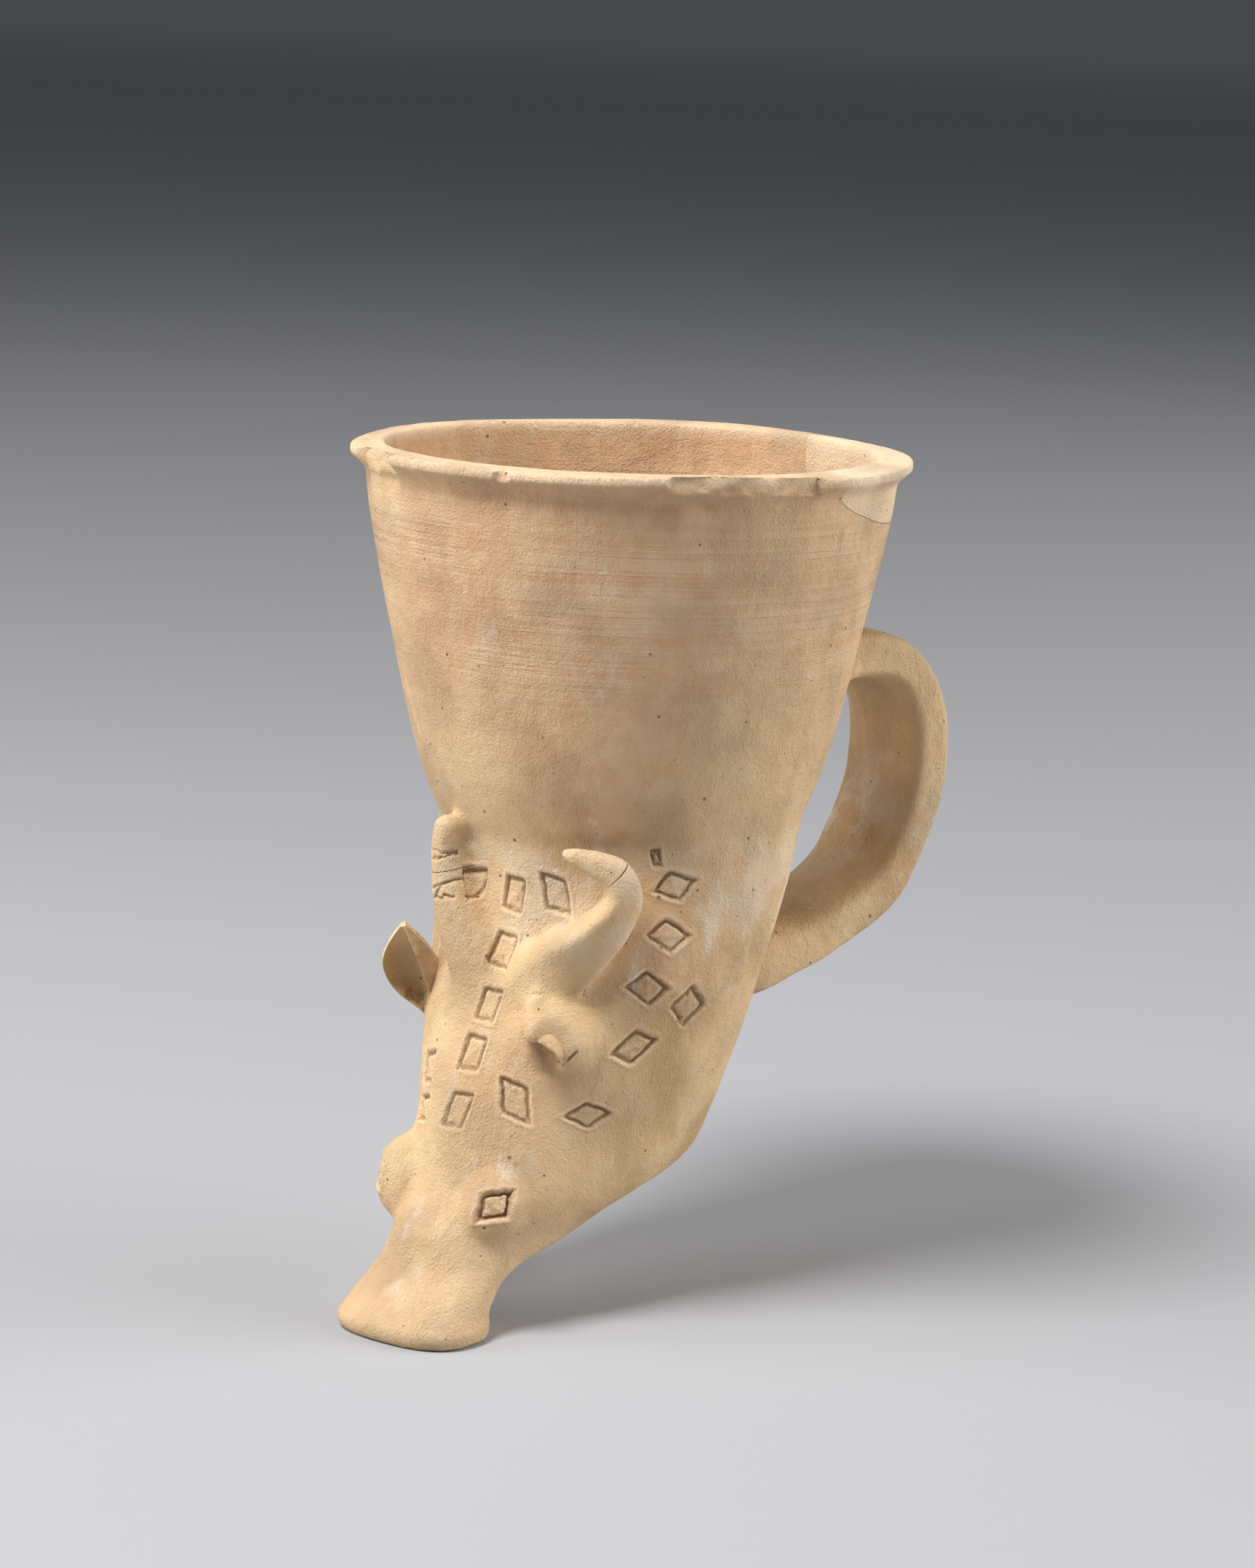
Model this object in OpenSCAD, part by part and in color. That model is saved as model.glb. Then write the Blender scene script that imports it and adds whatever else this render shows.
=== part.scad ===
// Rhyton: a fired-clay drinking cup whose lower end is an animal's head.
// +Z runs up the wheel axis of the cup, the face looks towards -X and the handle is at +X.
// The vessel stands on the lip of the muzzle, and the origin is under the middle of its outline.

/* [Cup] */
// Height of the thrown cup, from its foot to the mouth
cup_h = 85; // [75:1:95]
// Outer radius of the cup's wall at the mouth
mouth_r = 62.5; // [58:0.5:67]
// Outer radius of the cup's foot, which sits on the neck
foot_r = 44; // [42:0.5:47]
// How far the wall swells beyond a straight cone
wall_swell = 2.6; // [1:0.1:4]
// Thickness of the thrown wall
cup_wall = 4.8; // [4:0.1:5.6]
// How far the ledge of the rim stands out from the wall
rim_reach = 3.6; // [2:0.1:5]
// Thickness of the ledge of the rim
rim_t = 3; // [2.5:0.1:4]
// Height of the slope that carries the ledge
rim_slope = 3; // [1:0.1:5]

/* [Mended rim sherd] */
// Direction of the middle of the sherd, round the cup from +X
sherd_turn = -51; // [-60:1:-42]
// Angle of the rim that the sherd takes in
sherd_sweep = 84; // [60:1:96]
// Depth of the sherd below the mouth
sherd_h = 17; // [13:1:24]

/* [Head] */
// Height of the head, from the lip of the muzzle to the foot of the cup
head_h = 115.5; // [111:0.5:121]
// Thickness of the head's wall
head_wall = 6; // [5:0.25:7]
// How far the neck is set back under the front of the cup's foot
neck_step = 1.6; // [0.5:0.1:2.5]
// Height of the collar that stands up inside the cup's foot
collar_h = 6; // [4:0.5:9]
// Thickness of the collar
collar_wall = 3.6; // [2.5:0.1:4.5]

/* [Face line] */
// Drop of the horns' ring below the cup's foot
crown_drop = 16; // [13:1:19]
// Distance of the crown ahead of the wheel axis
crown_reach = 40.5; // [39:0.5:42.5]
// Drop of the ears' ring below the cup's foot
poll_drop = 33; // [30:1:36]
// Distance of the poll ahead of the wheel axis
poll_reach = 44.5; // [42.5:0.5:47]
// Height of the cheeks' ring
cheek_z = 65.5; // [62:0.5:68]
// Distance of the face ahead of the wheel axis at the cheeks
cheek_reach = 52; // [49.5:0.5:54.5]
// Height of the forehead's ring
brow_z = 48.5; // [46:0.5:51.5]
// Distance of the forehead ahead of the wheel axis
brow_reach = 58; // [55.5:0.5:60.5]
// Height of the eyes' ring on the face
eye_z = 31.5; // [29.5:0.5:34.5]
// Distance of the face ahead of the wheel axis between the eyes
eye_reach = 63; // [60.5:0.5:65.5]
// Height of the bridge, where the muzzle is joined on
bridge_z = 22.5; // [21:0.5:24.5]
// Distance of the bridge ahead of the wheel axis
bridge_reach = 69; // [67:0.5:71]

/* [Back line] */
// Distance of the neck's back behind the wheel axis at the horns
crown_back = 38.5; // [37:0.5:41]
// Distance of the neck's back behind the wheel axis at the ears
poll_back = 32.5; // [30.5:0.5:35]
// Distance of the nape behind the wheel axis
cheek_back = 28.5; // [27:0.5:30.5]
// Distance of the throat behind the wheel axis
brow_back = 25; // [23:0.5:26.5]
// Distance of the chin behind the wheel axis
chin_reach = 15; // [12:0.5:18]
// Height of the chin
chin_z = 31.5; // [30:0.5:33.5]
// Distance of the jaw's joint ahead of the wheel axis
jaw_reach = 15; // [12:0.5:18]
// Height of the jaw's underside, where the muzzle is joined on
jaw_z = 20.5; // [19:0.5:22]

/* [Widths of the head] */
// Half width of the neck at the horns
crown_half_w = 42.8; // [41:0.1:44]
// Half width of the head at the ears
poll_half_w = 40.5; // [38:0.5:42]
// Half width of the cheeks
cheek_half_w = 36; // [34:0.5:38.5]
// Half width of the forehead
brow_half_w = 30; // [28:0.5:32.5]
// Half width at the eyes
eye_half_w = 26.5; // [24.5:0.5:28]
// Half width of the jaw, where the muzzle is joined on
jaw_half_w = 19; // [18:0.5:21]

/* [Muzzle] */
// Half width of the muzzle at its waist
waist_half_w = 16.3; // [15:0.1:17.5]
// Depth of the waist from front to back
waist_l = 25; // [23:0.5:27]
// Half width of the flared lip
lip_half_w = 18.5; // [17.5:0.5:20.5]
// Length of the flared lip from front to back
lip_l = 26; // [24:0.5:29]
// Distance of the front of the lip ahead of the wheel axis
lip_reach = 83.5; // [81:0.5:86]
// Thickness of the lip's edge
lip_t = 4; // [3:0.25:5]
// Depth of the dish in the end of the muzzle
dish_depth = 2; // [1:0.25:3]
// Radius of the pouring hole
pour_r = 3; // [2:0.1:3.5]
// Lean of the pouring hole from upright
pour_lean = 40; // [36:1:44]

/* [Handle] */
// Turn of the handle round the cup, from +X
handle_turn = -12; // [-18:1:-6]
// Distance from the wheel axis to the outside of the handle
handle_reach = 97; // [91:1:100]
// Width of the strap
strap_w = 26; // [20:1:30]
// Thickness of the strap
strap_t = 12; // [9:0.5:13]
// Extra width of each root, where the clay is smeared on
root_flare = 7; // [3:1:10]
// Height of the top of the handle
handle_top = 153.5; // [149:0.5:158]
// Height of the middle of the handle's lower root
handle_foot = 74; // [70:1:78]

/* [Horns and ears] */
// Radius of a horn where it leaves the head
horn_root_r = 6.4; // [5.5:0.1:7]
// Radius of a horn at the break, where its tip is mended
horn_break_r = 4; // [3.4:0.1:4.6]
// Radius of a horn's tip
horn_tip_r = 1.6; // [1:0.1:2.2]
// Width of an ear
ear_w = 12; // [10:0.5:15]
// Length of the right ear, which stands up
ear_l = 13; // [11:0.5:15]
// Drop of the right ear's root below the poll
ear_drop = 12.4; // [11:0.2:14]
// Length of the left ear, which is folded down
flap_l = 10; // [8.5:0.5:11.5]
// Drop of the left ear's root below the poll
flap_drop = 3.4; // [2.6:0.2:4.2]
// Thickness of an ear
ear_t = 3; // [2.4:0.1:4]
// Depth of the hollow of an ear
ear_cup = 3; // [1.5:0.25:4]
// Depth to which the horns, ears and eyes are set into the head
seat_depth = 2.4; // [2:0.1:3.2]
// Clearance round what is set into the head or cut to fit it
seat_gap = 0.15; // [0.1:0.05:0.3]

/* [Eyes and stamps] */
// Radius of an eye's boss
eye_r = 9; // [8:0.25:10]
// How far an eye stands out of the face
eye_stand = 6; // [4.5:0.25:6.5]
// Width of the lozenge stamp
stamp_w = 7.5; // [6:0.25:8.5]
// Height of the lozenge stamp
stamp_h = 10; // [8:0.25:11.5]
// Depth of the stamped impressions
stamp_depth = 0.9; // [0.5:0.1:1.4]

/* [Hidden] */

clay = [0.86, 0.74, 0.58];
pale_clay = [0.9, 0.82, 0.68];
eps = 0.01;
overrun = 1;
mouth_z = head_h + cup_h;
wall_steps = 14;
wedge_start = 0.4;
revolve_sides = 96;
ring_sides = 48;
cavity_sides = 32;
ring_steps = 4;
horn_sides = 14;
horn_steps = 4;

// The wheel axis stands beside the origin, so that the origin is under the outline's middle.
axis_x = (lip_reach - handle_reach * cos(handle_turn) - strap_w / 4 * abs(sin(handle_turn))) / 2;
module on_axis() translate([axis_x, 0, 0]) children();

// A smooth curve through a list of points or rows, one whole number of t to each.
function through(rows, t) =
    let (last = len(rows) - 1,
         i = max(0, min(floor(t), last - 1)),
         f = t - i,
         here = rows[i],
         next = rows[i + 1],
         before = i > 0 ? rows[i - 1] : 2 * here - next,
         after = i + 2 <= last ? rows[i + 2] : 2 * next - here)
    0.5 * (2 * here + (next - before) * f
           + (2 * before - 5 * here + 4 * next - after) * f * f
           + (3 * here - before - 3 * next + after) * f * f * f);

// A closed solid through rings of points, each ring of the same count, with flat ends.
module loft(rings) {
    n = len(rings[0]);
    last = len(rings) - 1;
    points = [for (ring = rings) each ring];
    sides = [for (i = [0 : last - 1], k = [0 : n - 1])
        let (a = i * n + k, b = i * n + (k + 1) % n)
        each [[a, b, b + n], [a, b + n, a + n]]];
    first_cap = [[for (k = [n - 1 : -1 : 0]) k]];
    last_cap = [[for (k = [0 : n - 1]) last * n + k]];
    polyhedron(points, concat(sides, first_cap, last_cap), convexity = 6);
}

// CUP: one thrown shell with a flat, everted ledge for a rim.

// Outer radius of the wall at a height above the foot.
function cup_r(h) =
    let (t = h / cup_h)
    foot_r + (mouth_r - foot_r) * t + wall_swell * (1 - pow(2 * t - 1, 4));

under_ledge = cup_h - rim_t;
ledge_r = mouth_r + rim_reach;
ledge_nose = rim_t * 0.3;
cup_outside = [
    for (i = [0 : wall_steps])
        let (h = (under_ledge - rim_slope) * i / wall_steps)
        [cup_r(h), head_h + h],
    [ledge_r - ledge_nose, head_h + under_ledge],
    [ledge_r, head_h + under_ledge + ledge_nose],
    [ledge_r, mouth_z - ledge_nose],
    [ledge_r - ledge_nose, mouth_z]
];
cup_inside = [
    for (i = [wall_steps : -1 : 0])
        let (h = cup_h * i / wall_steps)
        [cup_r(h) - cup_wall, head_h + h]
];

module cup_shell() rotate_extrude($fn = revolve_sides) polygon(concat(cup_outside, cup_inside));

// The space that the cup's wall and what it holds take up, grown by d.
module cup_solid(d) rotate_extrude($fn = revolve_sides) polygon(concat(
    [[0, head_h - d]],
    [for (i = [0 : wall_steps])
        let (h = cup_h * i / wall_steps)
        [cup_r(h) + d, head_h + h - (i == 0 ? d : 0)]],
    [[0, mouth_z]]));

// The broken outline of the sherd, seen from the wheel axis, as shares of its half width and depth.
sherd_half_w = ledge_r * tan(sherd_sweep / 2);
sherd_edge = [
    [-1, 0], [-0.96, -0.4], [-0.62, -0.7], [-0.2, -0.88],
    [0.25, -1], [0.62, -0.93], [0.95, -0.55], [1, 0]
];

// A wedge that fans out from the wheel axis through the sherd.
module sherd_wedge() translate([0, 0, mouth_z]) rotate([0, 0, sherd_turn]) loft([
    for (k = [1 + overrun / ledge_r, wedge_start]) [
        for (p = sherd_edge) k * [ledge_r, sherd_half_w * p[0], p[1] == 0 ? 2 * overrun : sherd_h * p[1]]
    ]
]);

module cup() color(clay) on_axis() difference() {
    cup_shell();
    sherd_wedge();
}

module rim_sherd() color(pale_clay) on_axis() intersection() {
    cup_shell();
    sherd_wedge();
}

// HEAD: a hollow cone that carries on the cup and is modelled into a head.

// How far the back line lies below the face line at the cheeks and at the forehead.
cheek_tilt = 3;
brow_tilt = 6;

// Rings of the head from the neck down: reach and height on the face line, reach and height
// on the back line, half width, and power of the outline, where 2 is an ellipse.
head_rings = [
    [-(foot_r - neck_step), head_h, foot_r - seat_gap, head_h, foot_r - neck_step / 2, 2],
    [-crown_reach, head_h - crown_drop, crown_back, head_h - crown_drop, crown_half_w, 2],
    [-poll_reach, head_h - poll_drop, poll_back, head_h - poll_drop, poll_half_w, 2],
    [-cheek_reach, cheek_z, cheek_back, cheek_z - cheek_tilt, cheek_half_w, 2],
    [-brow_reach, brow_z, brow_back, brow_z - brow_tilt, brow_half_w, 2],
    [-eye_reach, eye_z, chin_reach, chin_z, eye_half_w, 2.1],
    [-bridge_reach, bridge_z, -jaw_reach, jaw_z, jaw_half_w, 2.2]
];
joint = len(head_rings) - 1;
lip_back = lip_reach - lip_l;
lip_power = 2.6;
waist_drop = 7.5;
waist_z = bridge_z - waist_drop;
waist_reach = bridge_reach + waist_drop / 3;
flare_z = waist_z / 2;
flare_half_w = (waist_half_w + lip_half_w) / 2 + lip_t / 10;
muzzle_rings = [
    head_rings[joint],
    [-waist_reach, waist_z, -(waist_reach - waist_l), waist_z - lip_t / 2, waist_half_w, 2.2],
    [-(lip_reach - lip_t), flare_z, -(lip_back - 0.4 * lip_t), flare_z - 0.6 * lip_t, flare_half_w, 2.4],
    [-lip_reach, lip_t * 0.7, -lip_back, lip_t * 0.6, lip_half_w, lip_power]
];

// A point of a ring at an angle from the face line, towards the head's left.
function ring_point(ring, angle) =
    let (c = cos(angle),
         s = sin(angle),
         p = 2 / ring[5],
         u = sign(c) * pow(abs(c), p),
         v = sign(s) * pow(abs(s), p))
    [(ring[0] + ring[2]) / 2 + (ring[0] - ring[2]) / 2 * u,
     -ring[4] * v,
     (ring[1] + ring[3]) / 2 + (ring[1] - ring[3]) / 2 * u];

function ring_points(ring, n = ring_sides) = [for (k = [0 : n - 1]) ring_point(ring, 360 * k / n)];

// A ring of the head at station s, moved out of the skin by d, or into the clay where d is negative.
function head_ring(s, d = 0) =
    let (ring = through(head_rings, s),
         slope = through(head_rings, min(s + eps, joint)) - through(head_rings, max(s - eps, 0)),
         face = [slope[1], -slope[0]] / norm([slope[0], slope[1]]),
         back = [-slope[3], slope[2]] / norm([slope[2], slope[3]]))
    ring + d * [face[0], face[1], back[0], back[1], 1, 0];

// Place on the skin at station s and an angle from the face line, and the direction out of it.
function skin(s, angle) = ring_point(head_ring(s), angle);
function out_of_skin(s, angle) =
    let (down = skin(s + eps, angle) - skin(s - eps, angle),
         round_left = skin(s, angle + 1) - skin(s, angle - 1),
         n = cross(down, round_left))
    n / norm(n);
function off_skin(place) = skin(place[0], place[1]) + place[2] * out_of_skin(place[0], place[1]);

// Stands its children on the skin: their +Z out of it, their +Y up the head, then turned.
module on_skin(s, angle, turn = 0) {
    p = skin(s, angle);
    n = out_of_skin(s, angle);
    up = skin(s - eps, angle) - skin(s + eps, angle);
    y = up / norm(up);
    x = cross(y, n);
    multmatrix([[x[0], y[0], n[0], p[0]], [x[1], y[1], n[1], p[1]], [x[2], y[2], n[2], p[2]], [0, 0, 0, 1]])
        rotate([0, 0, turn]) children();
}

// Rings of the head from station a to b, moved by d.
function head_stack(a, b, d = 0, n = ring_sides) =
    let (count = ceil((b - a) * ring_steps))
    [for (i = [0 : count]) ring_points(head_ring(a + (b - a) * i / count, d), n)];

function lifted(ring, z) = [for (p = ring) p + [0, 0, z]];

module head_solid(d = 0) loft(head_stack(0, joint, d));

module head_cavity() {
    stack = head_stack(0, joint, -head_wall, cavity_sides);
    loft(concat([lifted(stack[0], collar_h + overrun)], stack, [lifted(stack[len(stack) - 1], -overrun)]));
}

module collar() {
    r = foot_r - cup_wall - seat_gap;
    translate([0, 0, head_h - collar_h]) difference() {
        cylinder(h = 2 * collar_h, r = r, $fn = revolve_sides);
        translate([0, 0, -overrun])
            cylinder(h = 2 * collar_h + 2 * overrun, r = r - collar_wall, $fn = revolve_sides);
    }
}

// Stamped lozenges: station, angle from the face line, turn, share of the width and of the height.
face_stamps = [
    [1.04, 2, 0, 0.85, 1], [1.8, 2, 0, 0.8, 1], [2.51, 2, 0, 0.8, 1], [3.14, 1, 0, 0.85, 1],
    [3.9, 1, -5, 0.9, 0.95], [1.07, -14, 5, 0.8, 1], [0.95, 17, -20, 1, 1.1], [3.5, -26, 10, 0.8, 0.9],
    [3.67, 25, -25, 1.1, 1]
];
side_stamps = [
    [3.82, 54, 40, 1, 1.1], [0.34, 49, 35, 0.8, 0.8], [0.76, 55, 35, 1.1, 1.05], [1.45, 56, 35, 1.1, 1.05],
    [2.15, 55, 30, 1.15, 1.1], [2.43, 74, 30, 0.55, 1.2], [2.93, 60, 25, 1, 1.1]
];

lozenge = [[0, stamp_h / 2], [stamp_w / 2, 0], [0, -stamp_h / 2], [-stamp_w / 2, 0]];
stamp_taper = 0.2;

module stamp() hull() {
    translate([0, 0, overrun]) linear_extrude(eps) polygon(lozenge * (1 + stamp_taper));
    translate([0, 0, -stamp_depth]) linear_extrude(eps) polygon(lozenge * (1 - stamp_taper));
}

module place_stamps(rows, side) for (row = rows)
    on_skin(row[0], side * row[1], side * row[2]) scale([row[3], row[4], 1]) stamp();

module head() color(clay) on_axis() difference() {
    union() {
        difference() {
            head_solid();
            head_cavity();
        }
        collar();
    }
    place_stamps(face_stamps, 1);
    place_stamps(side_stamps, 1);
    place_stamps(side_stamps, -1);
    horn(left_horn, 0, left_break, seat_gap);
    horn(right_horn, 0, right_break, seat_gap);
    eye_boss(1, seat_gap);
    eye_boss(-1, seat_gap);
    ear(left_ear, seat_gap);
    ear(right_ear, seat_gap);
}

// MUZZLE: a solid spout with a flared lip, a shallow dish in its end and a pouring hole.

pour_x = -(lip_reach - lip_l / 2);

// Rings round the lip's edge and into the dish: how far drawn in, and height.
lip_edge = [
    [0.09 * lip_t, 0.25 * lip_t], [0.325 * lip_t, 0], [0.75 * lip_t, 0],
    [1.4 * lip_t, 0.7 * dish_depth], [2.1 * lip_t, dish_depth]
];

module muzzle() color(clay) on_axis() difference() {
    last = len(muzzle_rings) - 1;
    loft(concat(
        [for (i = [0 : last * ring_steps]) ring_points(through(muzzle_rings, i / ring_steps))],
        [for (row = lip_edge) ring_points(lip_ring(row[0], row[1]))]));
    translate([pour_x, 0, 0]) rotate([0, pour_lean, 0])
        translate([0, 0, -lip_t]) cylinder(h = 2 * bridge_z, r = pour_r, $fn = ring_sides);
}

// The lip's ring drawn in by some millimetres at a height.
function lip_ring(draw, z) = [-(lip_reach - draw), z, -(lip_back + draw), z, lip_half_w - draw, lip_power];

// HORNS: rolled tapers, rooted on the crown, that rise outwards and curl in to the front.

// Rows of station, angle from the face line, height of the middle over the skin, and radius.
horn_mid_r = (horn_root_r + horn_break_r) / 2;
left_horn = [
    [2.2, 13, 0.1 * horn_root_r, 0.47 * horn_root_r], [2.0, 21, horn_root_r - seat_depth, horn_root_r],
    [1.6, 32, 0.85 * horn_root_r, horn_root_r], [1.17, 37, horn_root_r, 1.12 * horn_mid_r],
    [0.72, 39, 1.16 * horn_root_r, 0.96 * horn_mid_r], [0.42, 37, 1.23 * horn_root_r, horn_break_r],
    [0.25, 31, 1.23 * horn_root_r, 0.75 * horn_break_r], [0.17, 24, horn_root_r, horn_tip_r]
];
right_horn = [
    [2.0, -12, 0.1 * horn_root_r, 0.47 * horn_root_r], [1.75, -14, horn_mid_r - seat_depth, horn_mid_r],
    [1.3, -17, horn_mid_r, horn_mid_r], [0.8, -20, 1.1 * horn_mid_r, horn_break_r],
    [0.5, -20.5, 1.1 * horn_mid_r, 0.9 * horn_break_r], [0.25, -20, 1.06 * horn_mid_r, 0.8 * horn_break_r],
    [0.07, -19.5, horn_mid_r, 1.4 * horn_tip_r]
];
left_break = 5;
right_break = 3;

module horn(rows, from, to, d = 0) {
    path = [for (row = rows) let (p = off_skin(row)) [p[0], p[1], p[2], row[3]]];
    count = (to - from) * horn_steps;
    loft([for (i = [0 : count]) tube_ring(path, from + (to - from) * i / count, d)]);
}

// Ring of a tube that runs through rows of x, y, z and radius.
function tube_ring(path, t, d) =
    let (row = through(path, t),
         ahead = through(path, min(t + eps, len(path) - 1)) - through(path, max(t - eps, 0)),
         along = [ahead[0], ahead[1], ahead[2]] / norm([ahead[0], ahead[1], ahead[2]]),
         x = cross(along, [1, 0, 0]),
         across = x / norm(x),
         third = cross(along, across))
    [for (k = [0 : horn_sides - 1])
        [row[0], row[1], row[2]]
        + (row[3] + d) * (cos(360 * k / horn_sides) * across - sin(360 * k / horn_sides) * third)];

module horn_left() color(clay) on_axis() horn(left_horn, 0, left_break);
module horn_right() color(clay) on_axis() horn(right_horn, 0, right_break);
module horn_tip_left() color(pale_clay) on_axis() horn(left_horn, left_break, len(left_horn) - 1);
module horn_tip_right() color(pale_clay) on_axis() horn(right_horn, right_break, len(right_horn) - 1);

// EARS: leaf-shaped tabs of clay, hollowed at the front and pinched at the root.

// Station of the head's ring whose face line lies at a drop below the poll's.
function below_poll(drop, s = 0) =
    s >= joint || through(head_rings, s)[1] <= head_h - poll_drop - drop ? s : below_poll(drop, s + eps);

// Root and tip as places over the skin, the way the hollow looks, and share of the width.
right_ear = [
    [below_poll(ear_drop), -40, -seat_depth], [below_poll(ear_drop - ear_l), -36, ear_l], [-1, -0.6, 0.1], 1
];
left_ear = [
    [below_poll(flap_drop), 28, -seat_depth], [below_poll(flap_drop + flap_l), 27, flap_l],
    [0.25, 0.95, -0.3], 1.1
];
ear_long = 8;
ear_across = 6;

// Half width of an ear at u of its length, as a share: narrow at the root, rounded at the tip.
function ear_half_w(u) =
    (0.4 + 0.6 * sin(150 * u + 10)) * (u < 0.85 ? 1 : sqrt(1 - pow((u - 0.85) / 0.16, 2)));

// A point of an ear: u along it, v across it, d through it, and how far its outline is grown.
function ear_point(ear, u, v, d, grow) =
    let (root = off_skin(ear[0]),
         along = off_skin(ear[1]) - root,
         wide = cross(along, ear[2]),
         side = wide / norm(wide),
         n = cross(side, along),
         front = n / norm(n),
         hollow = ear_cup * (v * v - 0.5) * min(1, 2.5 * u))
    root + along * u + side * v * (ear_w / 2 * ear[3] * ear_half_w(u) + grow) + front * (hollow + d);

module ear(ear, grow = 0) loft([for (j = [0 : ear_long])
    let (u = j == 0 ? -grow / 10 : j / ear_long)
    concat(
        [for (i = [0 : ear_across]) ear_point(ear, u, 1 - 2 * i / ear_across, ear_t / 2 + grow, grow)],
        [for (i = [ear_across : -1 : 0])
            ear_point(ear, u, 1 - 2 * i / ear_across, -ear_t / 2 - grow, grow)])]);

module ear_left() color(clay) on_axis() difference() {
    ear(left_ear);
    horn(left_horn, 0, left_break, seat_gap);
}
module ear_right() color(clay) on_axis() ear(right_ear);

// EYES: round bosses, each stamped with a lozenge.

eye_station = 5;
eye_angle = 29;
eye_stamp_depth = 1.4;
module eye_boss(side, d = 0) on_skin(eye_station, side * eye_angle) intersection() {
    translate([0, 0, eye_stand - eye_r]) sphere(r = eye_r + d, $fn = ring_sides);
    translate([0, 0, eye_r - seat_depth - d]) cube(2 * eye_r, center = true);
}

module eye(side) difference() {
    eye_boss(side);
    on_skin(eye_station, side * eye_angle) translate([0, 0, eye_stand - eye_stamp_depth])
        linear_extrude(eye_r) polygon(lozenge * (1 - stamp_taper));
}
module eye_left() color(clay) on_axis() eye(1);
module eye_right() color(clay) on_axis() eye(-1);

// HANDLE: a flat strap, smeared on to the cup above and on to the neck below.

// Distance from the wheel axis and height of the strap's middle, and share of the flare. The rows
// give the first two as shares of the way from the foot's radius to the reach, and up the handle.
mid_reach = handle_reach - strap_t / 2;
mid_top = handle_top - strap_t / 2;
handle_line = [
    for (row = [
        [0.106, 0.946, 1], [0.426, 0.993, 0.35], [0.745, 0.966, 0], [0.926, 0.85, 0], [1, 0.673, 0],
        [0.968, 0.483, 0], [0.851, 0.327, 0], [0.66, 0.197, 0], [0.319, 0.082, 0.2], [0.021, 0.02, 0.6],
        [-0.234, 0, 1]
    ]) [foot_r + row[0] * (mid_reach - foot_r), handle_foot + row[1] * (mid_top - handle_foot), row[2]]
];
handle_steps = 2;
slice_t = 0.6;
slice_sides = 20;
slice_power = 0.6;

// One slice of the strap at t along its line, a rounded rectangle that is larger at the roots.

module strap_slice(t) {
    row = through(handle_line, t);
    last = len(handle_line) - 1;
    ahead = through(handle_line, min(t + eps, last)) - through(handle_line, max(t - eps, 0));
    half_t = (strap_t + 0.3 * root_flare * row[2]) / 2;
    half_w = (strap_w + root_flare * row[2]) / 2;
    translate([row[0], 0, row[1]]) rotate([0, atan2(ahead[0], ahead[1]), 0])
        linear_extrude(slice_t, center = true) polygon([for (k = [0 : slice_sides - 1])
            let (c = cos(360 * k / slice_sides), s = sin(360 * k / slice_sides))
            [sign(c) * pow(abs(c), slice_power) * half_t, sign(s) * pow(abs(s), slice_power) * half_w]]);
}

module handle() color(clay) on_axis() difference() {
    rotate([0, 0, handle_turn]) for (i = [0 : (len(handle_line) - 1) * handle_steps - 1]) hull() {
        strap_slice(i / handle_steps);
        strap_slice((i + 1) / handle_steps);
    }
    cup_solid(seat_gap);
    head_solid(seat_gap);
}

cup();
rim_sherd();
head();
muzzle();
horn_left();
horn_right();
horn_tip_left();
horn_tip_right();
ear_left();
ear_right();
eye_left();
eye_right();
handle();
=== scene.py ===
import math

import bmesh
import bpy
import numpy as np
from mathutils import Matrix, Vector, noise
from mathutils.bvhtree import BVHTree
from mathutils.kdtree import KDTree


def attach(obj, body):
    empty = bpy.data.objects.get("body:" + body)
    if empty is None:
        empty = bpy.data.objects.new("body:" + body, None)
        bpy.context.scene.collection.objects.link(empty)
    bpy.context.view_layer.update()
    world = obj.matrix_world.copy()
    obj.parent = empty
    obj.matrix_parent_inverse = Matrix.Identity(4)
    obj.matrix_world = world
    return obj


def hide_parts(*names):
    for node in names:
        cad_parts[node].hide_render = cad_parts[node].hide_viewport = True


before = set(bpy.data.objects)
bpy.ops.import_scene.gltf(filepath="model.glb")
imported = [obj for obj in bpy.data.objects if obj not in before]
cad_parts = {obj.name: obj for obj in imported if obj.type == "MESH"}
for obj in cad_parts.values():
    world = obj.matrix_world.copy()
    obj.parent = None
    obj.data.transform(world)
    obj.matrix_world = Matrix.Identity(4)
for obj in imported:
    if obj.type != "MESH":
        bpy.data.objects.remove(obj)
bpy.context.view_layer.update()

# THE THROWN CUP
# A wall of buff clay about 5 mm thick, thrown on the wheel, with its rim turned out to a flat ledge. Its foot
# is lengthened down into the wall of the neck, where the potter luted the cup and the head together.
mm = 0.001
wheel_x = -6.37 * mm
foot_z = 115.5
mouth_z = 200.5
foot_r = 44.0
mouth_r = 62.5
wall_swell = 2.6
wall_t = 4.8
ledge_r = 66.1
ledge_t = 3.0
under_ledge = mouth_z - ledge_t
raw_clay = []


def cup_radius(z):
    t = (z - foot_z) / (mouth_z - foot_z)
    return foot_r + (mouth_r - foot_r) * t + wall_swell * (1 - (2 * t - 1) ** 4)


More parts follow.
